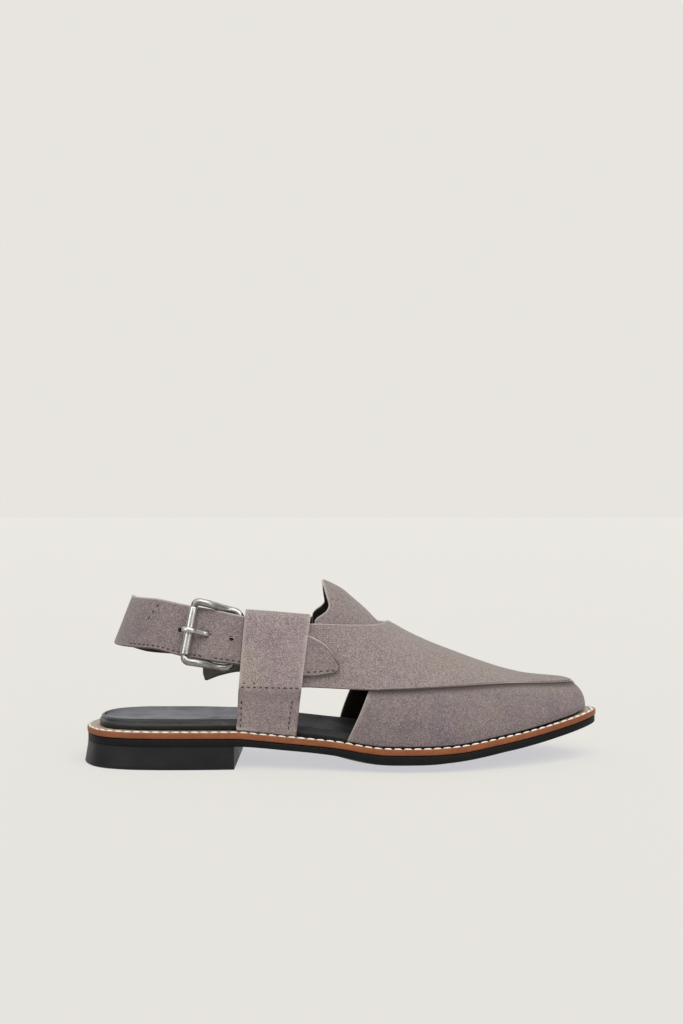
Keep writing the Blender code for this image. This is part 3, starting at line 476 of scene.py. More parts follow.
strapSides = {
    lateral: table(
        "along low width",
        (0.0737, 0.824, 1.050),
        (0.1361, 0.821, 1.055),
        (0.2046, 0.772, 1.085),
        (0.3073, 0.718, 1.030),
        (0.4271, 0.643, 0.860),
        (0.4462, 0.644, 0.765),
        (0.4583, 0.650, 0.665),
        (0.4774, 0.661, 0.385),
        (0.4865, 0.684, 0.150),
        (0.4900, 0.696, 0.060),
    ),
    medial: table(
        "along low width",
        (0.0551, 0.824, 1.050),
        (0.0640, 0.799, 1.040),
        (0.0737, 0.773, 1.025),
        (0.0858, 0.749, 1.000),
        (0.1049, 0.724, 0.990),
        (0.1361, 0.706, 0.990),
        (0.1985, 0.682, 0.990),
        (0.3012, 0.644, 0.990),
        (0.3959, 0.622, 0.990),
    ),
}


def strapEdge(side, along, level):
    rows = strapSides[side]
    low = read(rows, "low", along) * heelStrap["rise"]
    return low + read(rows, "width", along) * heelStrap["width"] * level


def strapPointAt(side, along, level):  # behind the join the strap leaves the last and goes round
    z = strapEdge(side, along, level)
    offset = layers["lateralStrap"] if side == lateral else layers["medialStrap"]
    if along >= heelStrap["join"]:
        return skin(along, side, z, offset)
    anchor = skin(heelStrap["join"], side, strapEdge(side, heelStrap["join"], level), offset)
    back = heelStrap["backLow"] + (heelStrap["backHigh"] - heelStrap["backLow"]) * level
    q = min((heelStrap["join"] - along) / (heelStrap["join"] - back), 1.0)
    y = anchor.y * (1 - q ** heelStrap["round"]) ** (1 / heelStrap["round"])
    return Vector((place(along), y, z))


def strapStation(side, t, level):  # even steps round the heel
    back = heelStrap["backLow"] + (heelStrap["backHigh"] - heelStrap["backLow"]) * level
    q = cos(t * pi / 2) ** (2 / heelStrap["round"])
    along = heelStrap["join"] - (heelStrap["join"] - back) * q
    return strapPointAt(side, along, level)


def buckleFrameAxes():  # the buckle's middle and its axes: to the toe, up, and out
    middle = strapPointAt(lateral, buckle["centre"], 0.5)
    ahead = strapPointAt(lateral, buckle["centre"] + buckle["reach"], 0.5)
    behind = strapPointAt(lateral, buckle["centre"] - buckle["reach"], 0.5)
    upper = strapPointAt(lateral, buckle["centre"], 0.9)
    lower = strapPointAt(lateral, buckle["centre"], 0.1)
    u = (ahead - behind).normalized()
    n = u.cross(upper - lower).normalized()
    v = n.cross(u).normalized()
    return (ahead + behind) / 4 + middle / 2, u, v, n


ownAxes = buckleFrameAxes()


def local(u, v, n):
    origin, axisU, axisV, axisN = ownAxes
    return origin + axisU * u + axisV * v + axisN * n


def drawnIn(u, v):  # the frame's arms come together towards its pivot
    return v * (1 - buckle["taper"] * min(max((u / pivotU + 1) / 2, 0.0), 1.0))


def billetDepth(u):
    origin = local(0, 0, 0)
    point = strapPointAt(lateral, buckle["centre"] + u / sole["length"], 0.5)
    return (point - origin).dot(local(0, 0, 1) - origin)


def rollerN():
    return billetDepth(-pivotU) + barDepth


def pivotN():
    return billetDepth(pivotU) - pivotDepth


def wireDepth(u):
    slant = pivotU - buckle["corner"]
    t = min(max((u / slant + 1) / 2, 0.0), 1.0)
    return rollerN() + (pivotN() - rollerN()) * t * t * (3 - 2 * t)


pivotU = buckle["length"] / 2 - buckle["wire"] / 2
barDepth = heelStrap["thickness"] / 2 + gap + buckle["roller"] / 2
pivotDepth = heelStrap["thickness"] / 2 + layers["lay"] + chape["wall"] + gap + buckle["bar"] / 2
armV = heelStrap["width"] / 2 + buckle["margin"] + buckle["wire"] / 2


def tone(red, green, blue):  # a screen colour as the linear colour that the shader wants
    made = []
    for part in (red, green, blue):
        part = part / 255
        made.append(part / 12.92 if part <= 0.04045 else ((part + 0.055) / 1.055) ** 2.4)
    return (*made, 1.0)


def fill(tree, socket, value):  # links another node's output, or sets a plain value
    if isinstance(value, bpy.types.NodeSocket):
        tree.links.new(value, socket)
    else:
        socket.default_value = value


def put(tree, kind, inputs=None, **settings):  # adds a node and feeds its inputs
    node = tree.nodes.new(kind)
    for key, value in settings.items():
        setattr(node, key, value)
    for key, value in (inputs or {}).items():
        fill(tree, node.inputs[key], value)
    return node


def calc(tree, operation, first, second):
    return put(tree, "ShaderNodeMath", {0: first, 1: second}, operation=operation).outputs[0]


def times(tree, first, second):
    return calc(tree, "MULTIPLY", first, second)


def plus(tree, first, second):
    return calc(tree, "ADD", first, second)


def blendColours(tree, factor, first, second, blend="MIX"):
    node = put(tree, "ShaderNodeMix", {0: factor}, data_type="RGBA", blend_type=blend)
    fill(tree, node.inputs[6], first)
    fill(tree, node.inputs[7], second)
    return node.outputs[2]


def spread(tree, value, low, high, to=(0.0, 1.0)):  # a soft step from low to high
    return put(tree, "ShaderNodeMapRange", {
        "Value": value, "From Min": low, "From Max": high, "To Min": to[0], "To Max": to[1]},
        interpolation_type="SMOOTHSTEP").outputs[0]


def cloud(tree, place, scale, detail=3.0, rough=0.55, warp=0.0):
    return put(tree, "ShaderNodeTexNoise", {
        "Vector": place, "Scale": scale, "Detail": detail, "Roughness": rough, "Distortion": warp}).outputs[0]


def axes(tree, vector):
    return put(tree, "ShaderNodeSeparateXYZ", {"Vector": vector}).outputs


def newGroup(name, ins, outs):  # a shader group with named inputs (kind and value) and outputs
    group = bpy.data.node_groups.new(name, "ShaderNodeTree")
    for label, (kind, value) in ins.items():
        socket = group.interface.new_socket(label, in_out="INPUT", socket_type="NodeSocket" + kind)
        if value is not None:
            socket.default_value = value
    for label, kind in outs.items():
        group.interface.new_socket(label, in_out="OUTPUT", socket_type="NodeSocket" + kind)
    return group, put(group, "NodeGroupInput").outputs


# scale, detail, roughness and warp of the clouds that make up the brushed nap
napClouds = {"patch": (62.0, 4.0, 0.62, 0.5), "warmth": (34.0, 3.0, 0.6, 0.8),
             "mottle": (330.0, 3.0, 0.65, 0.4), "fibre": (1300.0, 3.0, 0.75, 0.3),
             "fine": (1600.0, 2.0, 0.7, 0.0)}


def makeNap():  # brushed suede: warm and cool patches, short fibres, pale and dark flecks, and a painted warm highlight on upward faces
    group, ins = newGroup("suedeNap", {
        "Place": ("Vector", None), "Up": ("Float", 0.0), "Base": ("Color", (0.25, 0.2, 0.18, 1)),
        "Pale": ("Color", (0.4, 0.33, 0.3, 1)), "Deep": ("Color", (0.12, 0.09, 0.09, 1)),
        "Warm": ("Color", (0.35, 0.3, 0.24, 1)), "Patch": ("Float", 0.5), "Fleck": ("Float", 0.5)},
        {"Color": "Color", "Roughness": "Float", "Height": "Float"})
    clouds = {name: cloud(group, ins["Place"], *look) for name, look in napClouds.items()}
    patch = spread(group, clouds["patch"], 0.36, 0.66)
    warmth = spread(group, clouds["warmth"], 0.40, 0.66)
    mottle = spread(group, clouds["mottle"], 0.62, 0.38)
    dark = times(group, spread(group, clouds["fibre"], 0.58, 0.35), times(group, ins["Fleck"], 0.78))
    light = times(group, spread(group, clouds["fine"], 0.45, 0.68), times(group, ins["Fleck"], 0.9))
    # the warm colour goes on random patches and, as painted light, on faces that turn up
    warm = calc(group, "MAXIMUM", times(group, warmth, 0.6), times(group, ins["Up"], 0.8))
    colour = ins["Base"]
    for factor, other in ((times(group, patch, ins["Patch"]), "Pale"), (warm, "Warm"),
                          (times(group, mottle, 0.20), "Deep"), (dark, "Deep"), (light, "Pale")):
        colour = blendColours(group, factor, colour, ins[other])
    put(group, "NodeGroupOutput", {
        "Color": colour, "Roughness": spread(group, patch, 0.0, 1.0, (0.86, 0.97)),
        "Height": plus(group, times(group, clouds["fibre"], 0.7), times(group, clouds["fine"], 0.3))})
    return group


def makeGrain():  # pebbled leather grain with fine pores
    group, ins = newGroup("leatherGrain", {"Place": ("Vector", None), "Size": ("Float", 700.0)},
                          {"Height": "Float", "Crack": "Float", "Cloud": "Float"})
    cells = put(group, "ShaderNodeTexVoronoi", {"Vector": ins["Place"], "Scale": ins["Size"]},
                feature="DISTANCE_TO_EDGE")
    crack = spread(group, cells.outputs[0], 0.16, 0.0)
    pores = cloud(group, ins["Place"], 2600.0, 2.0)
    height = calc(group, "SUBTRACT", times(group, pores, 0.35), times(group, crack, 0.65))
    put(group, "NodeGroupOutput", {
        "Height": height, "Crack": crack, "Cloud": cloud(group, ins["Place"], 60.0, 4.0, 0.6, 0.3)})
    return group


def makeDust():  # specks and scuffs that lighten a dark surface a little
    group, ins = newGroup("dustAndScuff", {
        "Place": ("Vector", None), "Color": ("Color", (0.02, 0.02, 0.02, 1)),
        "Dust": ("Color", (0.25, 0.24, 0.24, 1)), "Amount": ("Float", 0.3)},
        {"Color": "Color", "Mask": "Float"})
    haze = spread(group, cloud(group, ins["Place"], 130.0, 5.0, 0.68, 0.6), 0.48, 0.78)
    speck = spread(group, cloud(group, ins["Place"], 2100.0, 2.0, 0.5), 0.66, 0.78)
    long = put(group, "ShaderNodeMapping", {"Vector": ins["Place"], "Scale": (0.12, 0.2, 1.6)})
    scuff = spread(group, cloud(group, long.outputs[0], 900.0, 3.0, 0.6), 0.60, 0.78)
    most = calc(group, "MAXIMUM", calc(group, "MAXIMUM", haze, speck), scuff)
    mask = times(group, most, ins["Amount"])
    put(group, "NodeGroupOutput", {
        "Color": blendColours(group, mask, ins["Color"], ins["Dust"]), "Mask": mask})
    return group


napGroup, grainGroup, dustGroup = makeNap(), makeGrain(), makeDust()


def newMaterial(name, **sockets):  # a material, its shader, and the place on the object
    made = bpy.data.materials.new(name)
    made.use_nodes = True
    tree = made.node_tree
    shader = tree.nodes["Principled BSDF"]
    for key, value in sockets.items():
        shader.inputs[key.replace("_", " ")].default_value = value
    return made, tree, shader, put(tree, "ShaderNodeTexCoord").outputs["Object"]


def dress(tree, shader, colour, rough, height, depth, strength=1.0):  # what every material ends in
    bump = put(tree, "ShaderNodeBump", {"Height": height, "Distance": depth, "Strength": strength})
    for label, value in (("Base Color", colour), ("Roughness", rough), ("Normal", bump.outputs[0])):
        tree.links.new(value, shader.inputs[label])


# edge is the cut edge's pale raw fibres; under is painted shade on cut edges that face down, and along the seam
suedeLook = {"base": tone(148, 131, 134), "pale": tone(198, 182, 180), "deep": tone(90, 76, 79),
             "warm": tone(170, 157, 144), "patch": 0.30, "fleck": 0.85, "edge": tone(200, 190, 180),
             "under": tone(62, 52, 50), "bump": 0.24 * mm, "shade": 0.81}


def suedeMaterial(name, **changes):
    look = {**suedeLook, **changes}
    made, tree, shader, place = newMaterial(
        name, Sheen_Weight=0.30, Sheen_Roughness=0.55, Sheen_Tint=(1.0, 0.95, 0.9, 1),
        Specular_IOR_Level=0.12)
    facing = axes(tree, put(tree, "ShaderNodeTexCoord").outputs["Normal"])[2]
    # painted highlight: faces turned up get the nap's warm colour
    values = {"Place": place, "Up": spread(tree, facing, 0.25, 0.95),
              "Patch": look["patch"], "Fleck": look["fleck"]}
    for key in ("Base", "Pale", "Deep", "Warm"):
        values[key] = [part * look["shade"] for part in look[key.lower()][:3]] + [1.0]
    nap = put(tree, "ShaderNodeGroup", values, node_tree=napGroup).outputs
    rimShare, seam = (
        put(tree, "ShaderNodeAttribute", attribute_name=kind).outputs["Fac"] for kind in ("rim", "seam"))
    # cut edges: pale raw fibres where they face up, the under tone as painted shade where they face down
    edge = blendColours(tree, spread(tree, facing, -0.45, 0.1), look["under"], look["edge"])
    shown = blendColours(tree, times(tree, rimShare, 0.75), nap["Color"], edge)
    # painted shadow on the toe panel under the outer strap's edge
    shown = blendColours(tree, times(tree, seam, 0.8), shown, look["under"])
    dress(tree, shader, shown, nap["Roughness"], nap["Height"], look["bump"])
    return made


leatherLook = {"dust": 0.08, "dustTone": tone(140, 136, 134), "dulled": 0.4}


def leatherMaterial(name, **changes):
    look = {**leatherLook, **changes}
    made, tree, shader, place = newMaterial(name, Specular_IOR_Level=look["gloss"])
    grain = put(tree, "ShaderNodeGroup", {"Place": place, "Size": look["grain"]},
                node_tree=grainGroup).outputs
    patch = spread(tree, grain["Cloud"], 0.35, 0.68)
    colour = blendColours(tree, patch, look["base"], look["pale"])
    colour = blendColours(tree, times(tree, grain["Crack"], 0.5), colour, look["deep"])
    dust = put(tree, "ShaderNodeGroup", {
        "Place": place, "Color": colour, "Dust": look["dustTone"], "Amount": look["dust"]},
        node_tree=dustGroup).outputs
    shown = dust["Color"]
    facing = axes(tree, put(tree, "ShaderNodeTexCoord").outputs["Normal"])
    # upward faces take the top colour: on the welt, the cream thread's colour and a painted highlight
    if "top" in look:
        shown = blendColours(tree, spread(tree, facing[2], 0.90, 0.97), shown, look["top"])
    # faces turned to the toe take the front colour: on the heel, painted shade on the breast
    if "front" in look:
        shown = blendColours(tree, spread(tree, facing[0], 0.55, 0.85), shown, look["front"])
    rough = plus(tree, times(tree, patch, 0.12), look["rough"])
    rough = plus(tree, rough, times(tree, dust["Mask"], look["dulled"]))
    if "worn" in look:  # duller towards the toe
        rough = plus(tree, rough, spread(tree, axes(tree, place)[0], 0.065, 0.085, (0.0, look["worn"])))
    dress(tree, shader, shown, rough, grain["Height"], look["bump"])
    return made


suede = suedeMaterial("greySuede")
# copies of the grey suede, scaled darker for the panel, heel strap and peak (painted shade) and lighter for the
# loops (painted light)
shadedPanelSuede = suedeMaterial("shadedPanelSuede", shade=0.65, base=tone(147, 130, 138))
shadedHeelSuede = suedeMaterial("shadedHeelSuede", shade=0.70)
shadedPeakSuede = suedeMaterial("shadedPeakSuede", shade=0.76)
litLoopSuede = suedeMaterial("litLoopSuede", shade=0.91)
lining = leatherMaterial("blackLining", base=tone(40, 35, 30), pale=tone(54, 48, 42), deep=tone(20, 17, 15),
                         grain=1200.0, rough=0.55, bump=0.05 * mm, gloss=0.2)
innerLeather = leatherMaterial("splitLeather", base=tone(70, 66, 60), pale=tone(86, 81, 74),
                               deep=tone(44, 41, 37), grain=1500.0, rough=0.8, bump=0.05 * mm, gloss=0.2)
padLeather = leatherMaterial("footbedLeather", base=tone(20, 19, 20), pale=tone(28, 27, 29), deep=tone(9, 9, 9),
                             grain=620.0, rough=0.37, bump=0.12 * mm, gloss=0.44, dust=0.03, worn=0.30)
# the welt's pale top is partly the cream stitching's colour, partly painted highlight
weltLeather = leatherMaterial("tanWelt", base=tone(140, 76, 38), pale=tone(160, 92, 50), deep=tone(84, 44, 24),
                              top=tone(172, 154, 134), grain=1700.0, rough=0.5, bump=0.05 * mm, gloss=0.35,
                              dust=0.12, dustTone=tone(112, 66, 46))
# front: painted shade on the heel's breast, which faces the arch
heelRubber = leatherMaterial("heelRubber", base=tone(18, 18, 22), pale=tone(24, 24, 28), deep=tone(12, 12, 14),
                             front=tone(5, 5, 6), grain=2600.0, rough=0.38, bump=0.03 * mm, gloss=0.22,
                             dust=0.04, dustTone=tone(84, 88, 94))
soleRubber = leatherMaterial("soleRubber", base=tone(15, 14, 15), pale=tone(20, 19, 20), deep=tone(8, 8, 8),
                             grain=2400.0, rough=0.5, bump=0.03 * mm, gloss=0.14,
                             dust=0.04, dustTone=tone(70, 68, 68))


def metalMaterial(name, base, dull, rough):
    made, tree, shader, place = newMaterial(name, Metallic=1.0)
    tarnish = spread(tree, cloud(tree, place, 260.0, 4.0, 0.6, 0.4), 0.42, 0.70)
    fine = cloud(tree, place, 1500.0, 2.0, 0.6)
    uneven = plus(tree, plus(tree, times(tree, tarnish, 0.14), rough), times(tree, fine, 0.06))
    dress(tree, shader, blendColours(tree, tarnish, base, dull), uneven, fine, 0.001 * mm, 0.3)
    return made


def threadMaterial(name, base, deep):
    made, tree, shader, place = newMaterial(name, Specular_IOR_Level=0.3, Sheen_Weight=0.2)
    twist = put(tree, "ShaderNodeMapping", {"Vector": place, "Rotation": (0.0, radians(38), radians(20))})
    ply = put(tree, "ShaderNodeTexWave", {
        "Vector": twist.outputs[0], "Scale": 620.0, "Distortion": 1.2}).outputs["Fac"]
    soil = spread(tree, cloud(tree, place, 240.0, 3.0), 0.40, 0.72)
    colour = blendColours(tree, times(tree, soil, 0.5), base, deep)
    dress(tree, shader, colour, spread(tree, ply, 0.0, 1.0, (0.6, 0.8)), ply, 0.08 * mm)
    return made


nickel = metalMaterial("antiqueNickel", tone(146, 144, 140), tone(120, 118, 114), 0.27)
rollerNickel = metalMaterial("rollerNickel", tone(176, 173, 169), tone(156, 153, 149), 0.30)
prongNickel = metalMaterial("prongNickel", tone(178, 175, 170), tone(156, 153, 148), 0.24)
creamThread = threadMaterial("creamThread", tone(250, 243, 234), tone(216, 196, 172))
darkThread = threadMaterial("darkThread", tone(58, 49, 48), tone(38, 33, 32))
print("materials made")


def surface(rows, closed=False):  # an open mesh from rows of points, doubled points merged
    mesh = bmesh.new()
    made = [[mesh.verts.new(point) for point in row] for row in rows]
    for near, far in zip(made, made[1:]):
        count = len(near)
        for i in range(count if closed else count - 1):
            j = (i + 1) % count
            mesh.faces.new((near[i], near[j], far[j], far[i]))
    bmesh.ops.remove_doubles(mesh, verts=mesh.verts, dist=0.01 * mm)
    bmesh.ops.recalc_face_normals(mesh, faces=mesh.faces)
    mesh.normal_update()
    return mesh


def link(name, data, *finishes):
    for made in finishes:
        data.materials.append(made)
    data.shade_smooth()
    return show(name, data)


# how strongly a strap's cut edge takes the rim colour, from its face to its back: pale raw fibres where it
# faces up, painted shade where it faces down
rimFibreAndShade = {"face": 0.35, "middle": 1.0, "back": 0.6}


def wallPiece(name, rows, low, high, outer, inner=None, edge=0.7 * mm, steps=5, level=None):
    # a strap: the surface moved out to low and high, its edge rounded all round
    mesh = surface(rows)
    widest = max(mesh.verts, key=lambda v: abs(v.co.y))
    if widest.normal.y * widest.co.y < 0:
        bmesh.ops.reverse_faces(mesh, faces=mesh.faces)
        mesh.normal_update()
    mesh.verts.index_update()
    outward = {}
    for side in mesh.edges:
        if not side.is_boundary:
            continue
        face = side.link_faces[0]
        first, second = side.verts
        away = (second.co - first.co).cross(face.normal)
        if away.dot(first.co + second.co - 2 * face.calc_center_median()) < 0:
            away.negate()
        away.normalize()
        for v in side.verts:
            outward[v.index] = outward.get(v.index, Vector()) + away
    count = len(mesh.verts)
    normals = [v.normal.copy() for v in mesh.verts]
    places = [v.co.copy() for v in mesh.verts]
    for i, away in outward.items():
        away.normalize()
        places[i] -= away * edge
    if level:
        places = [level(p, n) for p, n in zip(places, normals)]
    points = [p + n * high for p, n in zip(places, normals)]
    points += [p + n * low for p, n in zip(places, normals)]
    rimShare = [0.0] * (2 * count)
    rings = {}
    middle, half = (high + low) / 2, (high - low) / 2
    for i, away in outward.items():
        ring = [i]
        for k in range(1, steps):
            angle = pi / 2 - pi * k / steps
            points.append(places[i] + normals[i] * (middle + half * sin(angle)) + away * edge * cos(angle))
            rimShare.append(rimFibreAndShade["middle"] if k < steps - 1 else rimFibreAndShade["back"])
            ring.append(len(points) - 1)
        ring.append(i + count)
        rimShare[i] = rimFibreAndShade["face"]
        rings[i] = ring
    faces, slots = [], []
    for face in mesh.faces:
        corners = [v.index for v in face.verts]
        faces += [corners, [c + count for c in reversed(corners)]]
        slots += [0, 1]
        for side in face.loops:
            if side.edge.is_boundary:
                a, b = rings[side.vert.index], rings[side.link_loop_next.vert.index]
                for k in range(steps):
                    faces.append((b[k], a[k], a[k + 1], b[k + 1]))
                    slots.append(0 if k < steps - 1 else 1)
    mesh.free()
    data = bpy.data.meshes.new(name)
    data.from_pydata(points, [], faces)
    data.attributes.new("rim", "FLOAT", "POINT").data.foreach_set("value", rimShare)
    piece = link(name, data, outer, inner or outer)
    data.polygons.foreach_set("material_index", slots)
    data.update()
    return piece


def stand(piece, slotName, *nodes):  # every piece rides on the shoe's one body
    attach(piece, body)
    if nodes:
        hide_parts(*nodes)
    return piece


def ripple(amount, size, seed):  # gentle hand-worked unevenness of a soft wall
    def move(point, normal):
        at = point / size + Vector((seed, seed * 2, 0))
        return point + normal * amount * noise.noise(at)
    return move


def stripRows(ends, columns):  # rows of points on the last between pairs of ends
    rows = []
    for near, far in ends:
        rows.append([lastPoint(near[0] + (far[0] - near[0]) * i / columns,
                               near[1] + (far[1] - near[1]) * i / columns) for i in range(columns + 1)])
    return rows


def outerStrapRows(innerCount, tipCount, outerCount, columns):
    innerRear, innerFront, outerRear, outerFront = outerStrapEdges()
    ridge, tip = innerRear[-1], innerFront[-1]
    ends = list(zip(resample(innerRear, innerCount), resample(innerFront, innerCount)))
    ends += [(ridge, (tip[0], tip[1] * (1 - 2 * i / tipCount))) for i in range(1, tipCount)]
    ends += zip(resample(outerRear, outerCount), resample(outerFront, outerCount))
    return stripRows(ends, columns)


def toePanelRows(columns, steps):
    rows = []
    for j in range(columns + 1):
        w = -1 + 2 * j / columns
        start = rootStart(w)
        rows.append([lastPoint(start + (1 - start) * sin(pi / 2 * i / steps), w) for i in range(steps + 1)])
    return rows


def innerWingRows(steps, columns):
    rows = [[] for _ in range(columns + 1)]
    for i in range(steps + 1):
        along = straps["innerStart"] + (straps["innerEnd"] - straps["innerStart"]) * i / steps
        top = max(wAt(along, medial, wingTopAt(along)), 0.06)
        seam = wAt(along, medial, wingSeamAt(along))
        near = max(1 - (along - straps["innerEnd"]) / straps["innerRound"], 0.0)
        seam += (top - seam) * straps["innerRise"] * (1 - sqrt(1 - near * near))
        for j, row in enumerate(rows):
            row.append(lastPoint(along, seam + (top - seam) * j / columns))
    return rows


def tongueRows(columns, steps):
    rows = []
    for j in range(columns + 1):
        share = -1 + 2 * j / columns
        side = lateral if share < 0 else medial
        along = tongue["back"]
        for _ in range(8):
            near = abs(wAt(along, side, tongue["side"]))
            z = lastPoint(along, near * share).z
            along = 0.5 * along + 0.5 * read(tongueEdge, sideName[side], z / last["instep"])
        row = []
        for i in range(steps + 1):
            here = along + (tongue["front"] - along) * i / steps
            far = abs(wAt(here, side, tongue["hem"]))
            row.append(lastPoint(here, (near + (far - near) * min(4 * i / steps, 1.0)) * share))
        rows.append(row)
    return rows


def paintSeamShadow(piece, path, reach):  # painted shadow along the edge of the strap that lies over it
    tree = kdtree.KDTree(len(path))
    for i, pair in enumerate(path):
        tree.insert(lastPoint(*pair), i)
    tree.balance()
    far = [tree.find(v.co)[2] - straps["wall"] for v in piece.data.vertices]
    near = [exp(-(max(d, 0.0) / reach) ** 2) for d in far]
    piece.data.attributes.new("seam", "FLOAT", "POINT").data.foreach_set("value", near)


outerStrap = wallPiece("outer_strap", outerStrapRows(36, 20, 130, 46), layers["outerBack"], layers["outerFace"],
                       suede, lining, level=ripple(*straps["unevenness"]))
stand(outerStrap, "suede", "upper")
toePanel = wallPiece("toe_panel", toePanelRows(150, 80), 0.0, straps["wall"], shadedPanelSuede, lining,
                     level=ripple(*straps["unevenness"]))
stand(toePanel, "suede")
paintSeamShadow(toePanel, resample(outerStrapEdges()[3], 500), straps["seamShade"])
innerWing = wallPiece("inner_wing", innerWingRows(90, 22), straps["innerClear"],
                      straps["wall"] - straps["innerClear"], suede, innerLeather)
stand(innerWing, "suede")
tonguePiece = wallPiece("tongue_peak", tongueRows(72, 60), -layers["lay"] - tongue["wall"], -layers["lay"],
                        shadedPeakSuede, lining, edge=tongue["edge"])
stand(tonguePiece, "suede", "tongue")
print("upper made")


def smoothPath(points, fine):  # a finer, smooth path through points
    made, end = [], len(points) - 1
    for k in range(end):
        a, b, c, d = (points[min(max(k + o, 0), end)] for o in (-1, 0, 1, 2))
        for i in range(fine):
            t = i / fine
            made.append(0.5 * ((2 * b) + (c - a) * t + (2 * a - 5 * b + 4 * c - d) * t * t
                               + (3 * b - a - 3 * c + d) * t ** 3))
    return made + [points[-1]]


loopCrown = ((0.32, 0.05), (0.06, 0.35), (0.0, 1.0), (0.06, 1.65), (0.32, 1.95))
loopLayers = {}  # how far out the back and the front of each loop lie
for side, under, over in (
        (lateral, layers["outerBack"], layers["lateralStrap"]), (medial, 0, layers["medialStrap"])):
    clear = layers["lay"] + loop["wall"] / 2
    loopLayers[side] = (under - clear, over + heelStrap["thickness"] / 2 + clear)


def loopLegs(side):  # height and distance out along a loop's folded path
    inner, outer = loopLayers[side]
    crown = (outer - inner) / 2
    top = loop["top"][side] - loop["wall"] / 2
    bend = top - loop["bend"]
    shut = loop["join"] - loop["blend"]
    stem = inner + loop["wall"] + 2 * gap
    legs = [(loop["foot"] + (shut - loop["foot"]) * i / 3, inner) for i in range(3)]
    legs += [(shut + (bend - shut) * i / 6, inner) for i in range(7)]
    legs += [(top - drop * loop["bend"], inner + out * crown) for drop, out in loopCrown]
    legs += [(bend + (loop["join"] + loop["blend"] - bend) * i / 4, outer) for i in range(5)]
    legs += [(loop["join"], (outer + stem) / 2), (shut, stem)]
    legs += [(shut + (loop["foot"] - shut) * i / 3, stem) for i in range(1, 4)]
    return smoothPath([Vector(leg) for leg in legs], 4)


def loopPoint(side, z, offset, across):
    rise = (z - loop["foot"]) / (loop["top"][side] - loop["wall"] / 2 - loop["foot"])
    wide = across * (loop["width"] + loop["spreadTop"] * rise) - loop["shiftTop"] * rise
    along = loop["base"][side] + (loop["lean"] * rise + wide) / sole["length"]
    return skin(along, side, z - loop["slope"] * across * max(rise, 0.0) ** 2, offset)


def makeLoop(node, side):
    rows = [[loopPoint(side, z, offset, i / 14 - 0.5) for i in range(15)] for z, offset in loopLegs(side)]
    for row in (rows[0], rows[-1]):
        for point in row:
            point.z = weltTop(point.x, point.y) + 2 * gap
    piece = wallPiece(node + "_band", rows, -loop["wall"] / 2, loop["wall"] / 2, litLoopSuede, suede,
                      edge=loop["edge"], level=ripple(*loop["unevenness"]))
    stand(piece, "suede", node)


makeLoop("loop_lateral", lateral)
makeLoop("loop_medial", medial)
print("loops made")


def heelStrapRows(front, bend, back, columns):  # stations from the pointed end round to the tail
    tip, join = heelStrap["tip"], heelStrap["join"]
    shoulder = tip - heelStrap["blunt"]
    levels = [i / columns for i in range(columns + 1)]
    stops = [tip + (shoulder - tip) * (i / 6) ** 1.5 for i in range(7)]
    stops += [shoulder + (join - shoulder) * i / front for i in range(1, front + 1)]
    turns = [(lateral, 1 - i / bend) for i in range(1, bend)] + [(medial, i / bend) for i in range(bend)]
    tail = [join + (heelStrap["tail"] - join) * i / back for i in range(back + 1)]
    rows = [[strapPointAt(lateral, along, level) for level in levels] for along in stops]
    rows += [[strapStation(side, turn, level) for level in levels] for side, turn in turns]
    return rows + [[strapPointAt(medial, along, level) for level in levels] for along in tail]


def onBuckle(u, v, n, turned=None):
    return Matrix.Translation(local(u, v, n)) @ Matrix(turned or ownAxes[1:]).transposed().to_4x4()


def bake(piece, helpers=()):  # the modifiers' result as the piece's own plain mesh
    view = bpy.context.evaluated_depsgraph_get()
    view.update()
    data = bpy.data.meshes.new_from_object(piece.evaluated_get(view))
    piece.modifiers.clear()
    piece.data = data
    for helper in helpers:
        bpy.data.objects.remove(helper)
    return piece


def punch(piece, cutters):  # cuts shapes out of a piece and leaves a plain mesh
    for cutter in cutters:
        cut = piece.modifiers.new(cutter.name, "BOOLEAN")
        cut.object, cut.operation, cut.solver, cut.material_mode = cutter, "DIFFERENCE", "EXACT", "TRANSFER"
    return bake(piece, cutters)


def newCutter(name, mesh, place):
    piece = show(name, meshData(name, mesh))
    piece.matrix_world = place
    piece.data.materials.append(lining)
    return piece


def holeCutter(name, radius, place):
    mesh = bmesh.new()
    bmesh.ops.create_cone(mesh, cap_ends=True, segments=32, radius1=radius, radius2=radius, depth=cutDepth)
    return newCutter(name, mesh, place)


def slotCutter(name, length, width, place):
    mesh = bmesh.new()
    bmesh.ops.create_cube(mesh, size=1.0)
    bmesh.ops.scale(mesh, vec=(length, width, cutDepth), verts=mesh.verts)
    ends = [e for e in mesh.edges if abs(e.verts[0].co.z - e.verts[1].co.z) > cutDepth / 2]
    bmesh.ops.bevel(mesh, geom=ends, offset=min(length, width) * 0.45, segments=6, affect="EDGES")
    return newCutter(name, mesh, place)


strapPiece = wallPiece("heel_strap_band", heelStrapRows(64, 70, 24, 20), -heelStrap["thickness"] / 2,
                       heelStrap["thickness"] / 2, shadedHeelSuede, lining, edge=heelStrap["edge"],
                       level=ripple(*heelStrap["unevenness"]))
holes = [holeCutter("hole" + str(i), heelStrap["hole"],
                    onBuckle(buckle["prongHole"] + i * heelStrap["spacing"], 0, 0)) for i in (-1, 1)]
holes.append(slotCutter("slot", heelStrap["slot"], buckle["prong"] + 2 * gap,
                        onBuckle(buckle["prongHole"] + heelStrap["slotShift"], 0, 0)))
stand(punch(strapPiece, holes), "suede", "heel_strap")
print("heel strap made")


def chapePoint(back, level, offset):
    along = straps["wingEnd"] - back
    centre = strapPointAt(lateral, along, 0.5)
    return skin(along, lateral, centre.z + level * chape["width"] / 2, offset)


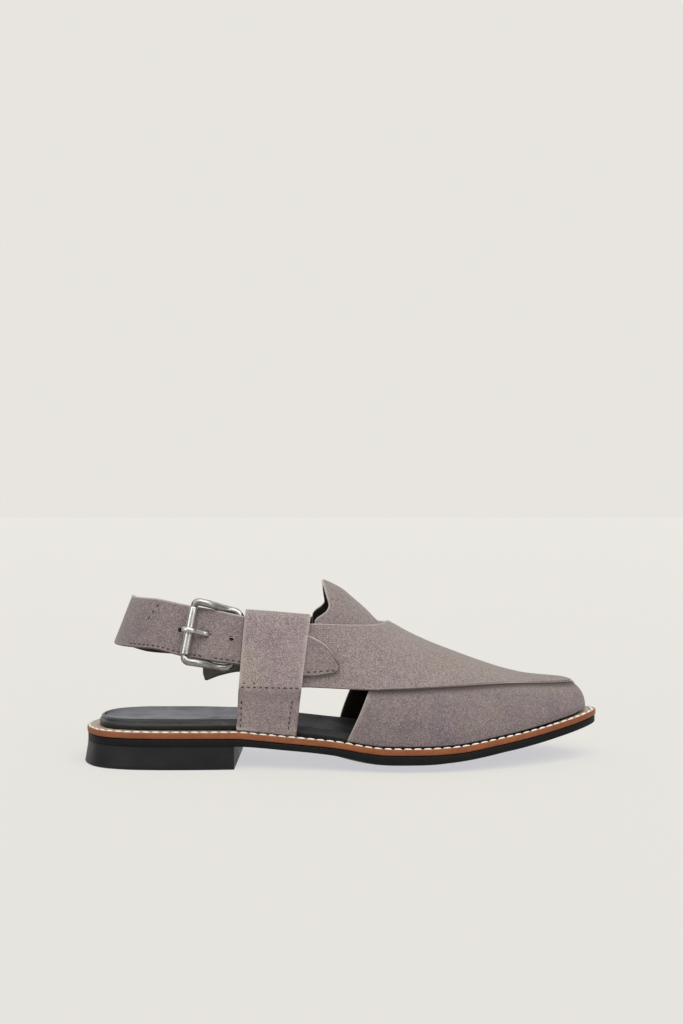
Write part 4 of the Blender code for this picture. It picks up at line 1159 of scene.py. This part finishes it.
def makeChape():
    half = chape["wall"] / 2
    ring = buckle["bar"] / 2 + gap + half
    levels = [i / 8 - 1 for i in range(17)]
    backs = [chape["near"] + chape["reach"] * i / 8 for i in range(9)]
    rows = [[chapePoint(back, level, layers["outerFace"] - half) for level in levels] for back in backs]
    for i in range(28):
        angle = pi / 2 + i / 27 * chape["wrap"]
        u, n = pivotU + ring * cos(angle), pivotN() + ring * sin(angle)
        rows.append([local(u, level * chape["width"] / 2, n) for level in levels])
    rows += [[chapePoint(back, level, layers["outerBack"] + half) for level in levels] for back in backs[::-1]]
    piece = wallPiece("chape_tab", rows, -half, half, suede, lining, edge=chape["edge"])
    slot = slotCutter("chapeSlot", *chape["slot"], onBuckle(pivotU - chape["slotBack"], 0, pivotN()))
    stand(punch(piece, [slot]), "suede", "buckle_chape")


makeChape()


def wirePiece(name, points, depth, made, radii, cyclic=False):
    curve = bpy.data.curves.new(name, "CURVE")
    curve.dimensions = "3D"
    curve.bevel_depth, curve.bevel_resolution = depth, 6
    curve.use_fill_caps = not cyclic
    spline = curve.splines.new("POLY")
    spline.points.add(len(points) - 1)
    for knot, point, radius in zip(spline.points, points, radii):
        knot.co = (*point, 1)
        knot.radius = radius
    spline.use_cyclic_u = cyclic
    holder = show(name + "Path", curve)
    view = bpy.context.evaluated_depsgraph_get()
    view.update()
    mesh = bmesh.new()
    mesh.from_mesh(bpy.data.meshes.new_from_object(holder.evaluated_get(view)))
    bmesh.ops.remove_doubles(mesh, verts=mesh.verts, dist=0.004 * mm)
    bmesh.ops.recalc_face_normals(mesh, faces=mesh.faces)
    bpy.data.objects.remove(holder)
    return link(name, meshData(name, mesh), made)


def makeFrame():
    points, radii = [], []
    thin = buckle["bar"] / buckle["wire"]
    corners = {-1: buckle["rollerCorner"], 1: buckle["corner"]}
    for end, top, start in ((-1, 1, pi), (1, 1, pi / 2), (1, -1, 0.0), (-1, -1, -pi / 2)):
        corner = corners[end]
        centreU, centreV = end * (pivotU - corner), top * (armV - corner)
        for i in range(13):
            angle = start - i / 12 * pi / 2
            u, v = centreU + corner * cos(angle), centreV + corner * sin(angle)
            points.append(local(u, drawnIn(u, v), wireDepth(u)))
            radii.append(thin + (1 - thin) * min(max((abs(v) - abs(centreV)) / corner * 2.2, 0), 1))
        if end != top:  # an arm runs on from this corner, and a bar from the others
            far = -end * (pivotU - corners[-end])
            for i in range(1, 16):
                u = centreU + (far - centreU) * i / 16
                points.append(local(u, drawnIn(u, top * armV), wireDepth(u)))
                radii.append(1.0)
    piece = wirePiece("frame_wire", points, buckle["wire"] / 2, nickel, radii, cyclic=True)
    stand(piece, "metal", "buckle_frame")


def turnedPiece(name, section, uAt, nAt, made):  # a ring turned across the buckle
    steps = 48
    place = onBuckle(uAt, 0, nAt, (ownAxes[1], -ownAxes[3], ownAxes[2]))
    rows = []
    for i in range(steps):
        angle = 2 * pi * i / steps
        rows.append([place @ Vector((r * cos(angle), r * sin(angle), z)) for r, z in section])
    rows.append(rows[0])
    return link(name, meshData(name, surface(rows, closed=True)), made)


def makeRoller():
    inner, outer = buckle["bar"] / 2 + gap, buckle["roller"] / 2
    half, soft = armV - buckle["rollerCorner"] - gap, buckle["rollerEdge"]
    rounded = [(outer - soft + soft * sin(a), half - soft + soft * cos(a))
               for a in (0.0, 0.4, 0.8, 1.2, pi / 2)]
    section = [(inner, half)] + rounded
    section += [(outer, half * (1 - 2 * i / 8)) for i in range(1, 8)]
    section += [(r, -z) for r, z in rounded[::-1]]
    section += [(inner, half * (2 * i / 6 - 1)) for i in range(6)]
    stand(turnedPiece("roller_tube", section, -pivotU, rollerN(), rollerNickel), "metal", "buckle_roller")


# the prong's way from its eye to its point, each with a share of the wire's thickness
prongShank = ((0.864, 0.0, 0.85), (0.625, 0.0, 0.95), (0.262, 0.046, 1.0), (0.162, 0.207, 1.0),
              (0.120, 0.425, 1.0))
prongElbow = ((1.0, -0.5, 1.0), (0.75, 0.7, 1.0), (-0.2, 1.55, 1.0), (-1.8, 2.4, 1.0))
prongBend = ((0.61, 1.0), (0.95, 1.05), (1.30, 1.1), (1.65, 1.1))
prongTip = ((0.34, 0.058, 1.0), (0.60, 0.150, 0.85))


def makeProng():
    radius, hole = buckle["prong"] / 2, buckle["prongHole"]
    under, middle = pivotN(), billetDepth(hole)
    face = middle + heelStrap["thickness"] / 2
    rest = buckle["roller"] / 2 + gap + radius
    path = [(hole + (pivotU - hole) * run, under + (middle - under) * rise, wire)
            for run, rise, wire in prongShank]
    path += [(hole + run * mm, face + rise * mm, wire) for run, rise, wire in prongElbow]
    path += [(-pivotU + rest * cos(turn), rollerN() + rest * sin(turn), wire) for turn, wire in prongBend]
    path += [(-pivotU - run * buckle["roller"], rollerN() + rest - drop * buckle["roller"], wire)
             for run, drop, wire in prongTip]
    fine = smoothPath([Vector(p) for p in path], 5)
    point = buckle["prongPoint"]
    fine += [Vector((fine[-1].x - point[0], fine[-1].y - point[1], point[2]))]
    shank = wirePiece("prong_wire", [local(u, 0, n) for u, n, _ in fine], radius, prongNickel,
                      [p.z for p in fine])
    inner, half = buckle["bar"] / 2 + gap, buckle["eyeHalf"]
    outer = inner + buckle["eyeWall"]
    section = [(inner, half), (outer, half * 0.9), (outer, 0), (outer, -half * 0.9), (inner, -half)]
    eye = turnedPiece("prong_eye", section, pivotU, pivotN(), nickel)
    stand(shank, "metal", "buckle_prong")
    stand(eye, "metal")


makeFrame()
makeRoller()
makeProng()
print("buckle made")


def soleLayer(name, rings, floor, top, made, columns=12, dish=0.0, crease=None):
    # rings are an inset and a share of the thickness, from the underside up the edge
    def edgePoint(turn, side, inset, height):
        point = rim(turn, side, insetOf(turn, inset))
        low = floor(point.x, point.y)
        return Vector((point.x, point.y, low + (top(point.x, point.y) - low) * height))

    rows = []
    for s in range(sole["stations"] + 1):
        turn = s / sole["stations"]
        row = [edgePoint(turn, medial, *ring) for ring in rings]
        inner, outer = (rim(turn, side, insetOf(turn, rings[-1][0])) for side in (medial, lateral))
        for i in range(1, columns):
            flat = inner.lerp(outer, i / columns)
            v = 1 - 2 * i / columns
            row.append(Vector((flat.x, flat.y, top(flat.x, flat.y) - dish * (1 - v * v))))
        row += [edgePoint(turn, lateral, *ring) for ring in rings[::-1]]
        inner, outer = (rim(turn, side, insetOf(turn, rings[0][0])) for side in (medial, lateral))
        for i in range(1, columns):
            flat = outer.lerp(inner, i / columns)
            row.append(Vector((flat.x, flat.y, floor(flat.x, flat.y))))
        rows.append(row)
    mesh = surface(rows, closed=True)
    if crease:
        for v in mesh.verts:
            v.co += crease(v.co, v.normal)
        mesh.normal_update()
    return link(name, meshData(name, mesh), made)


edge, inset = sole["edge"], sole["inset"]
weltRings = [(edge, 0.0), (0.2 * edge, 0.07), (0.0, 0.2), (0.0, 0.5), (0.0, 0.7)]
weltRings += [(edge * (1 - cos(pi * i / 10)), 1 - edge / sole["welt"] * (1 - sin(pi * i / 10)))
              for i in range(6)]
welt = soleLayer("welt_edge", weltRings, weltBottom, weltTop, weltLeather)
stand(welt, "welt_leather", "welt")
soleRings = [(inset + 0.3 * edge, 0.0), (inset + 0.1 * edge, 0.05), (inset, 0.12), (inset, 0.5), (inset, 0.86),
             (inset + 0.3 * edge, 1.0)]
outsole = soleLayer("outsole_rubber", soleRings, treadZ, outsoleTop, soleRubber)
stand(outsole, "rubber", "outsole")


def heelBlock():
    steps, height, soft = 60, sole["heelHeight"], sole["edge"]
    breast = turnOf(sole["heelLength"] / sole["length"])
    turns = [(breast * (1 - i / steps), lateral) for i in range(steps)]
    turns += [(breast * i / steps, medial) for i in range(steps + 1)]
    heights = [0.0, 0.25 * mm] + [soft + (height - soft - gap) * i / 7 for i in range(8)] + [height + gap]
    rows = []
    for z in heights:
        spreadOut = max(1 - z / height, 0.0) ** 1.25
        tuck = max(soft - z, 0) ** 2 / soft
        row = []
        for turn, side in turns:
            rear = sole["breastFlare"] + (1 - sole["breastFlare"]) * (1 - turn / breast) ** 0.6
            point = rim(turn, side, sole["inset"] - sole["flare"] * spreadOut * rear + tuck)
            row.append(Vector((min(point.x, place(alongOf(breast))), point.y, z)))
        rows.append(row)
    mesh = surface(rows, closed=True)
    bmesh.ops.holes_fill(mesh, edges=[e for e in mesh.edges if e.is_boundary], sides=0)
    bmesh.ops.recalc_face_normals(mesh, faces=mesh.faces)
    piece = link("heel_block", meshData("heel_block", mesh), heelRubber)
    piece.data.set_sharp_from_angle(angle=0.7)
    stand(piece, "rubber", "heel")


heelBlock()

# soft folds pressed into the footbed's side: height share, depth and width
padFolds = [(0.68, 0.60 * mm, 0.11), (0.34, -0.45 * mm, 0.20)]


def padShape(point, normal):
    side = 1 - abs(normal.z)
    swell = 0.35 * mm * noise.noise(point / (17 * mm)) + 0.12 * mm * noise.noise(point / (5.5 * mm))
    level = (point.z - footbedBottom(point.x, point.y)) / footbed["thickness"]
    fold = 0.0
    for i, (height, depth, width) in enumerate(padFolds):
        wander = height + 0.07 * noise.noise(Vector((point.x / (26 * mm), i * 9.0, point.y / (40 * mm))))
        strong = 0.75 + 0.6 * noise.noise(Vector((point.x / (34 * mm), 3.0 + i, point.y / (60 * mm))))
        fold += depth * strong * exp(-((level - wander) / width) ** 2)
    return normal * (swell * (0.35 + 0.65 * side) - fold * min(side * 2.5, 1.0))


padRings = [(footbed["inset"] + 0.4 * mm, 0.0)]
padRings += [(footbed["inset"], 0.05 + 0.035 * i) for i in range(12)]
padRings += [(footbed["inset"] + footbed["round"] * (1 - cos(a)), 0.46 + 0.54 * sin(a)) for a in
             (0.08, 0.16, 0.25, 0.35, 0.46, 0.58, 0.72, 0.88, 1.05, 1.25, pi / 2)]
pad = soleLayer("footbed_pad", padRings, footbedBottom, footbedTop, padLeather, columns=30,
                dish=footbed["dish"], crease=padShape)
stand(pad, "lining_leather", "footbed")
print("sole made")


def stitchTree():  # stitches along a path: length, thickness, gap between, and how they sit
    tree = bpy.data.node_groups.new("stitchRow", "GeometryNodeTree")
    for label, kind, value in (
            ("Geometry", "Geometry", None), ("Pitch", "Float", 5.3 * mm), ("Length", "Float", 4.0 * mm),
            ("Radius", "Float", 0.5 * mm), ("Wobble", "Float", 0.06), ("Seed", "Int", 7),
            ("Thread", "Material", None)):
        socket = tree.interface.new_socket(label, in_out="INPUT", socket_type="NodeSocket" + kind)
        if value is not None:
            socket.default_value = value
    tree.interface.new_socket("Geometry", in_out="OUTPUT", socket_type="NodeSocketGeometry")
    ins = put(tree, "NodeGroupInput").outputs
    path = put(tree, "GeometryNodeMeshToCurve", {"Mesh": ins["Geometry"]}).outputs[0]
    even = put(tree, "GeometryNodeResampleCurve", {"Curve": path, "Length": ins["Pitch"]},
               mode="LENGTH").outputs[0]
    ball = put(tree, "GeometryNodeMeshIcoSphere", {"Radius": 1.0, "Subdivisions": 2}).outputs[0]
    tangent = put(tree, "GeometryNodeInputTangent").outputs[0]
    turn = put(tree, "FunctionNodeAlignRotationToVector", {"Vector": tangent}, axis="X").outputs[0]
    lift = put(tree, "FunctionNodeRandomValue", {"Min": -0.5, "Max": 0.5, "Seed": ins["Seed"]},
               data_type="FLOAT")
    tilt = times(tree, lift.outputs[1], ins["Wobble"])
    twist = put(tree, "ShaderNodeCombineXYZ", {"Y": tilt, "Z": tilt}).outputs[0]
    turned = put(tree, "FunctionNodeRotateRotation", {"Rotation": turn, "Rotate By": twist},
                 rotation_space="LOCAL").outputs[0]
    size = put(tree, "ShaderNodeCombineXYZ", {
        "X": times(tree, ins["Length"], 0.5), "Y": ins["Radius"], "Z": ins["Radius"]}).outputs[0]
    placed = put(tree, "GeometryNodeInstanceOnPoints", {
        "Points": even, "Instance": ball, "Rotation": turned, "Scale": size}).outputs[0]
    real = put(tree, "GeometryNodeRealizeInstances", {"Geometry": placed}).outputs[0]
    smooth = put(tree, "GeometryNodeSetShadeSmooth", {"Geometry": real}).outputs[0]
    made = put(tree, "GeometryNodeSetMaterial", {"Geometry": smooth, "Material": ins["Thread"]}).outputs[0]
    put(tree, "NodeGroupOutput", {"Geometry": made})
    return tree


stitches = stitchTree()


def stitchRow(name, paths, look):  # one piece from one or more stitched paths
    points, edges = [], []
    for path in paths:
        first = len(points)
        points += path
        edges += [(first + i, first + i + 1) for i in range(len(path) - 1)]
    data = bpy.data.meshes.new(name)
    data.from_pydata(points, edges, [])
    piece = show(name, data)
    row = piece.modifiers.new("stitches", "NODES")
    row.node_group = stitches
    for socket in stitches.interface.items_tree:
        if socket.in_out == "INPUT" and socket.name in look:
            row[socket.identifier] = look[socket.name]
    stand(bake(piece), "thread")


weltStitch = {"Pitch": 5.3 * mm, "Length": 4.7 * mm, "Radius": 0.62 * mm, "Seed": 11, "Wobble": 0.10,
              "Thread": creamThread}
weltLine = {"inset": 1.15 * mm, "toeInset": 1.6 * mm, "toeStart": 0.94, "lift": 0.05 * mm, "count": 400}


def weltPoint(turn, side):
    nearToe = max(turn - weltLine["toeStart"], 0.0) / (1 - weltLine["toeStart"])
    point = rim(turn, side, weltLine["inset"] + weltLine["toeInset"] * nearToe)
    return Vector((point.x, point.y, weltTop(point.x, point.y) + weltLine["lift"]))


count = weltLine["count"]
ring = [weltPoint(1 - i / count, lateral) for i in range(count + 1)]
ring += [weltPoint(i / count, medial) for i in range(1, count + 1)]
stitchRow("welt_stitches", [ring], weltStitch)

darkStitch = {"Pitch": 3.0 * mm, "Length": 1.9 * mm, "Radius": 0.38 * mm, "Seed": 5, "Wobble": 0.3,
              "Thread": darkThread}
# stitched lines of the heel strap: side, from and to along it, from and to up it, points
strapLines = ((lateral, 0.100, 0.233, 0.07, 0.07, 60), (lateral, 0.262, 0.326, 0.07, 0.07, 60),
              (medial, 0.100, 0.326, 0.07, 0.07, 60), (lateral, 0.420, 0.478, 0.09, 0.16, 20),
              (lateral, 0.1505, 0.1345, 0.86, 0.60, 20))


def strapFacePoint(side, along, level, lift=0.02 * mm):  # on the outside of the heel strap
    step = 0.004
    run = strapPointAt(side, along + step, level) - strapPointAt(side, along - step, level)
    climb = strapPointAt(side, along, level + 0.05) - strapPointAt(side, along, level - 0.05)
    normal = run.cross(climb).normalized()
    atSide = abs(normal.y) > 0.2
    if (atSide and normal.y * side < 0) or (not atSide and normal.x > 0):
        normal.negate()
    return strapPointAt(side, along, level) + normal * (heelStrap["thickness"] / 2 + lift)


def strapPath(side, start, end, low, high, count):
    return [strapFacePoint(side, start + (end - start) * i / count, low + (high - low) * i / count)
            for i in range(count + 1)]


# stitched lines of a loop: up both edges of its foot, and across it where its two legs join
loopLines = {"edges": (-0.435, 0.365), "start": 2.5 * mm, "rise": 17.5 * mm, "above": 0.3 * mm,
             "across": (-0.44, 0.86), "second": (-0.42, 0.16), "secondUp": 2.2 * mm, "lift": 0.05 * mm}


def loopStitches(name, side):
    outer = loopLayers[side][1] + loop["wall"] / 2 + loopLines["lift"]
    stem = loopLayers[side][0] + loop["wall"] * 1.5 + 2 * gap + loopLines["lift"]
    rows = []
    for across in loopLines["edges"]:
        low = loop["foot"] + loopLines["start"]
        rows.append([loopPoint(side, low + loopLines["rise"] * i / 20, stem, across) for i in range(21)])
    seamZ = loop["join"] + loop["blend"] + loopLines["above"]
    secondZ = seamZ + loopLines["secondUp"]
    for z, (start, run), count in ((seamZ, loopLines["across"], 20), (secondZ, loopLines["second"], 6)):
        rows.append([loopPoint(side, z, outer, start + run * i / count) for i in range(count + 1)])
    stitchRow(name, rows, darkStitch)


stitchRow("strap_stitches", [strapPath(*line) for line in strapLines], darkStitch)
loopStitches("loop_lateral_stitches", lateral)
loopStitches("loop_medial_stitches", medial)
print("stitches made")

# pale floor that glows a little like a light table, painted light that lightens the shadows on it, and runs
# into a backdrop of its tone
studio = {"tone": tone(230, 227, 221), "wash": tone(231, 228, 222), "backdrop": tone(232, 229, 224),
          "dome": 0.35, "key": 2.44, "glow": 0.74, "glowTint": (0.95, 0.98, 1.09)}
mesh = bmesh.new()
bmesh.ops.create_grid(mesh, x_segments=40, y_segments=40, size=30.0)
floorFinish, floorTree, floorShader, floorPlace = newMaterial(
    "paleFloor", Specular_IOR_Level=0.1, Roughness=0.9, Emission_Strength=1.0)
wash = spread(floorTree, cloud(floorTree, floorPlace, 1.2), 0.3, 0.7)
glow = [studio["glow"] * part for part in studio["glowTint"]]
lit = [1 - part for part in glow] + [1.0]
washed = blendColours(floorTree, wash, studio["tone"], studio["wash"])
floorTree.links.new(blendColours(floorTree, 1.0, washed, lit, "MULTIPLY"), floorShader.inputs["Base Color"])
floorShader.inputs["Emission Color"].default_value = [a * b for a, b in zip(studio["tone"], glow)] + [1.0]
link("floor", meshData("floor", mesh), floorFinish)

world = bpy.data.worlds.new("studio")
world.use_nodes = True
bpy.context.scene.world = world
sky = world.node_tree
sky.nodes.clear()


def background(colour, strength):
    return put(sky, "ShaderNodeBackground", {"Color": colour, "Strength": strength}).outputs[0]


def choose(factor, first, second):
    return put(sky, "ShaderNodeMixShader", {0: factor, 1: first, 2: second}).outputs[0]


# gloss sees the dark of the camera's side, and a bright backdrop and ceiling
aim = axes(sky, put(sky, "ShaderNodeTexCoord").outputs["Generated"])
bright = calc(sky, "MAXIMUM", spread(sky, aim[2], 0.30, 0.75), spread(sky, aim[1], -0.05, 0.5))
mirrored = background((0.97, 0.98, 1.03, 1), spread(sky, bright, 0.0, 1.0, (0.10, 1.25)))
rays = put(sky, "ShaderNodeLightPath").outputs
unseen = choose(rays["Is Glossy Ray"], background((0.93, 0.96, 1.09, 1), studio["dome"]), mirrored)
mixed = choose(rays["Is Camera Ray"], unseen, background(studio["backdrop"], 1.0))
put(sky, "ShaderNodeOutputWorld", {"Surface": mixed})


def addLight(name, kind, power, direction, **settings):
    lamp = bpy.data.lights.new(name, kind)
    lamp.energy = power
    for key, value in settings.items():
        setattr(lamp, key, value)
    piece = show(name, lamp)
    piece.rotation_euler = Vector(direction).to_track_quat("Z", "Y").to_euler()
    return piece


addLight("keyLight", "SUN", studio["key"], (0.24, -0.61, 0.94), angle=radians(60), color=(0.989, 0.991, 0.91))
for name, x, power in (("stripLeft", -0.55, 3.4), ("stripRight", 0.75, 2.4)):  # seen in gloss alone
    strip = addLight(name, "AREA", power, (x - 0.05, -0.75, 0.30), shape="RECTANGLE", size=0.22, size_y=0.7)
    strip.location = (x, -0.75, 0.35)
    strip.visible_diffuse = False

settings = bpy.context.scene.view_settings
settings.view_transform, settings.look, settings.exposure, settings.gamma = "Standard", "None", 0.0, 1.0
print("studio made")
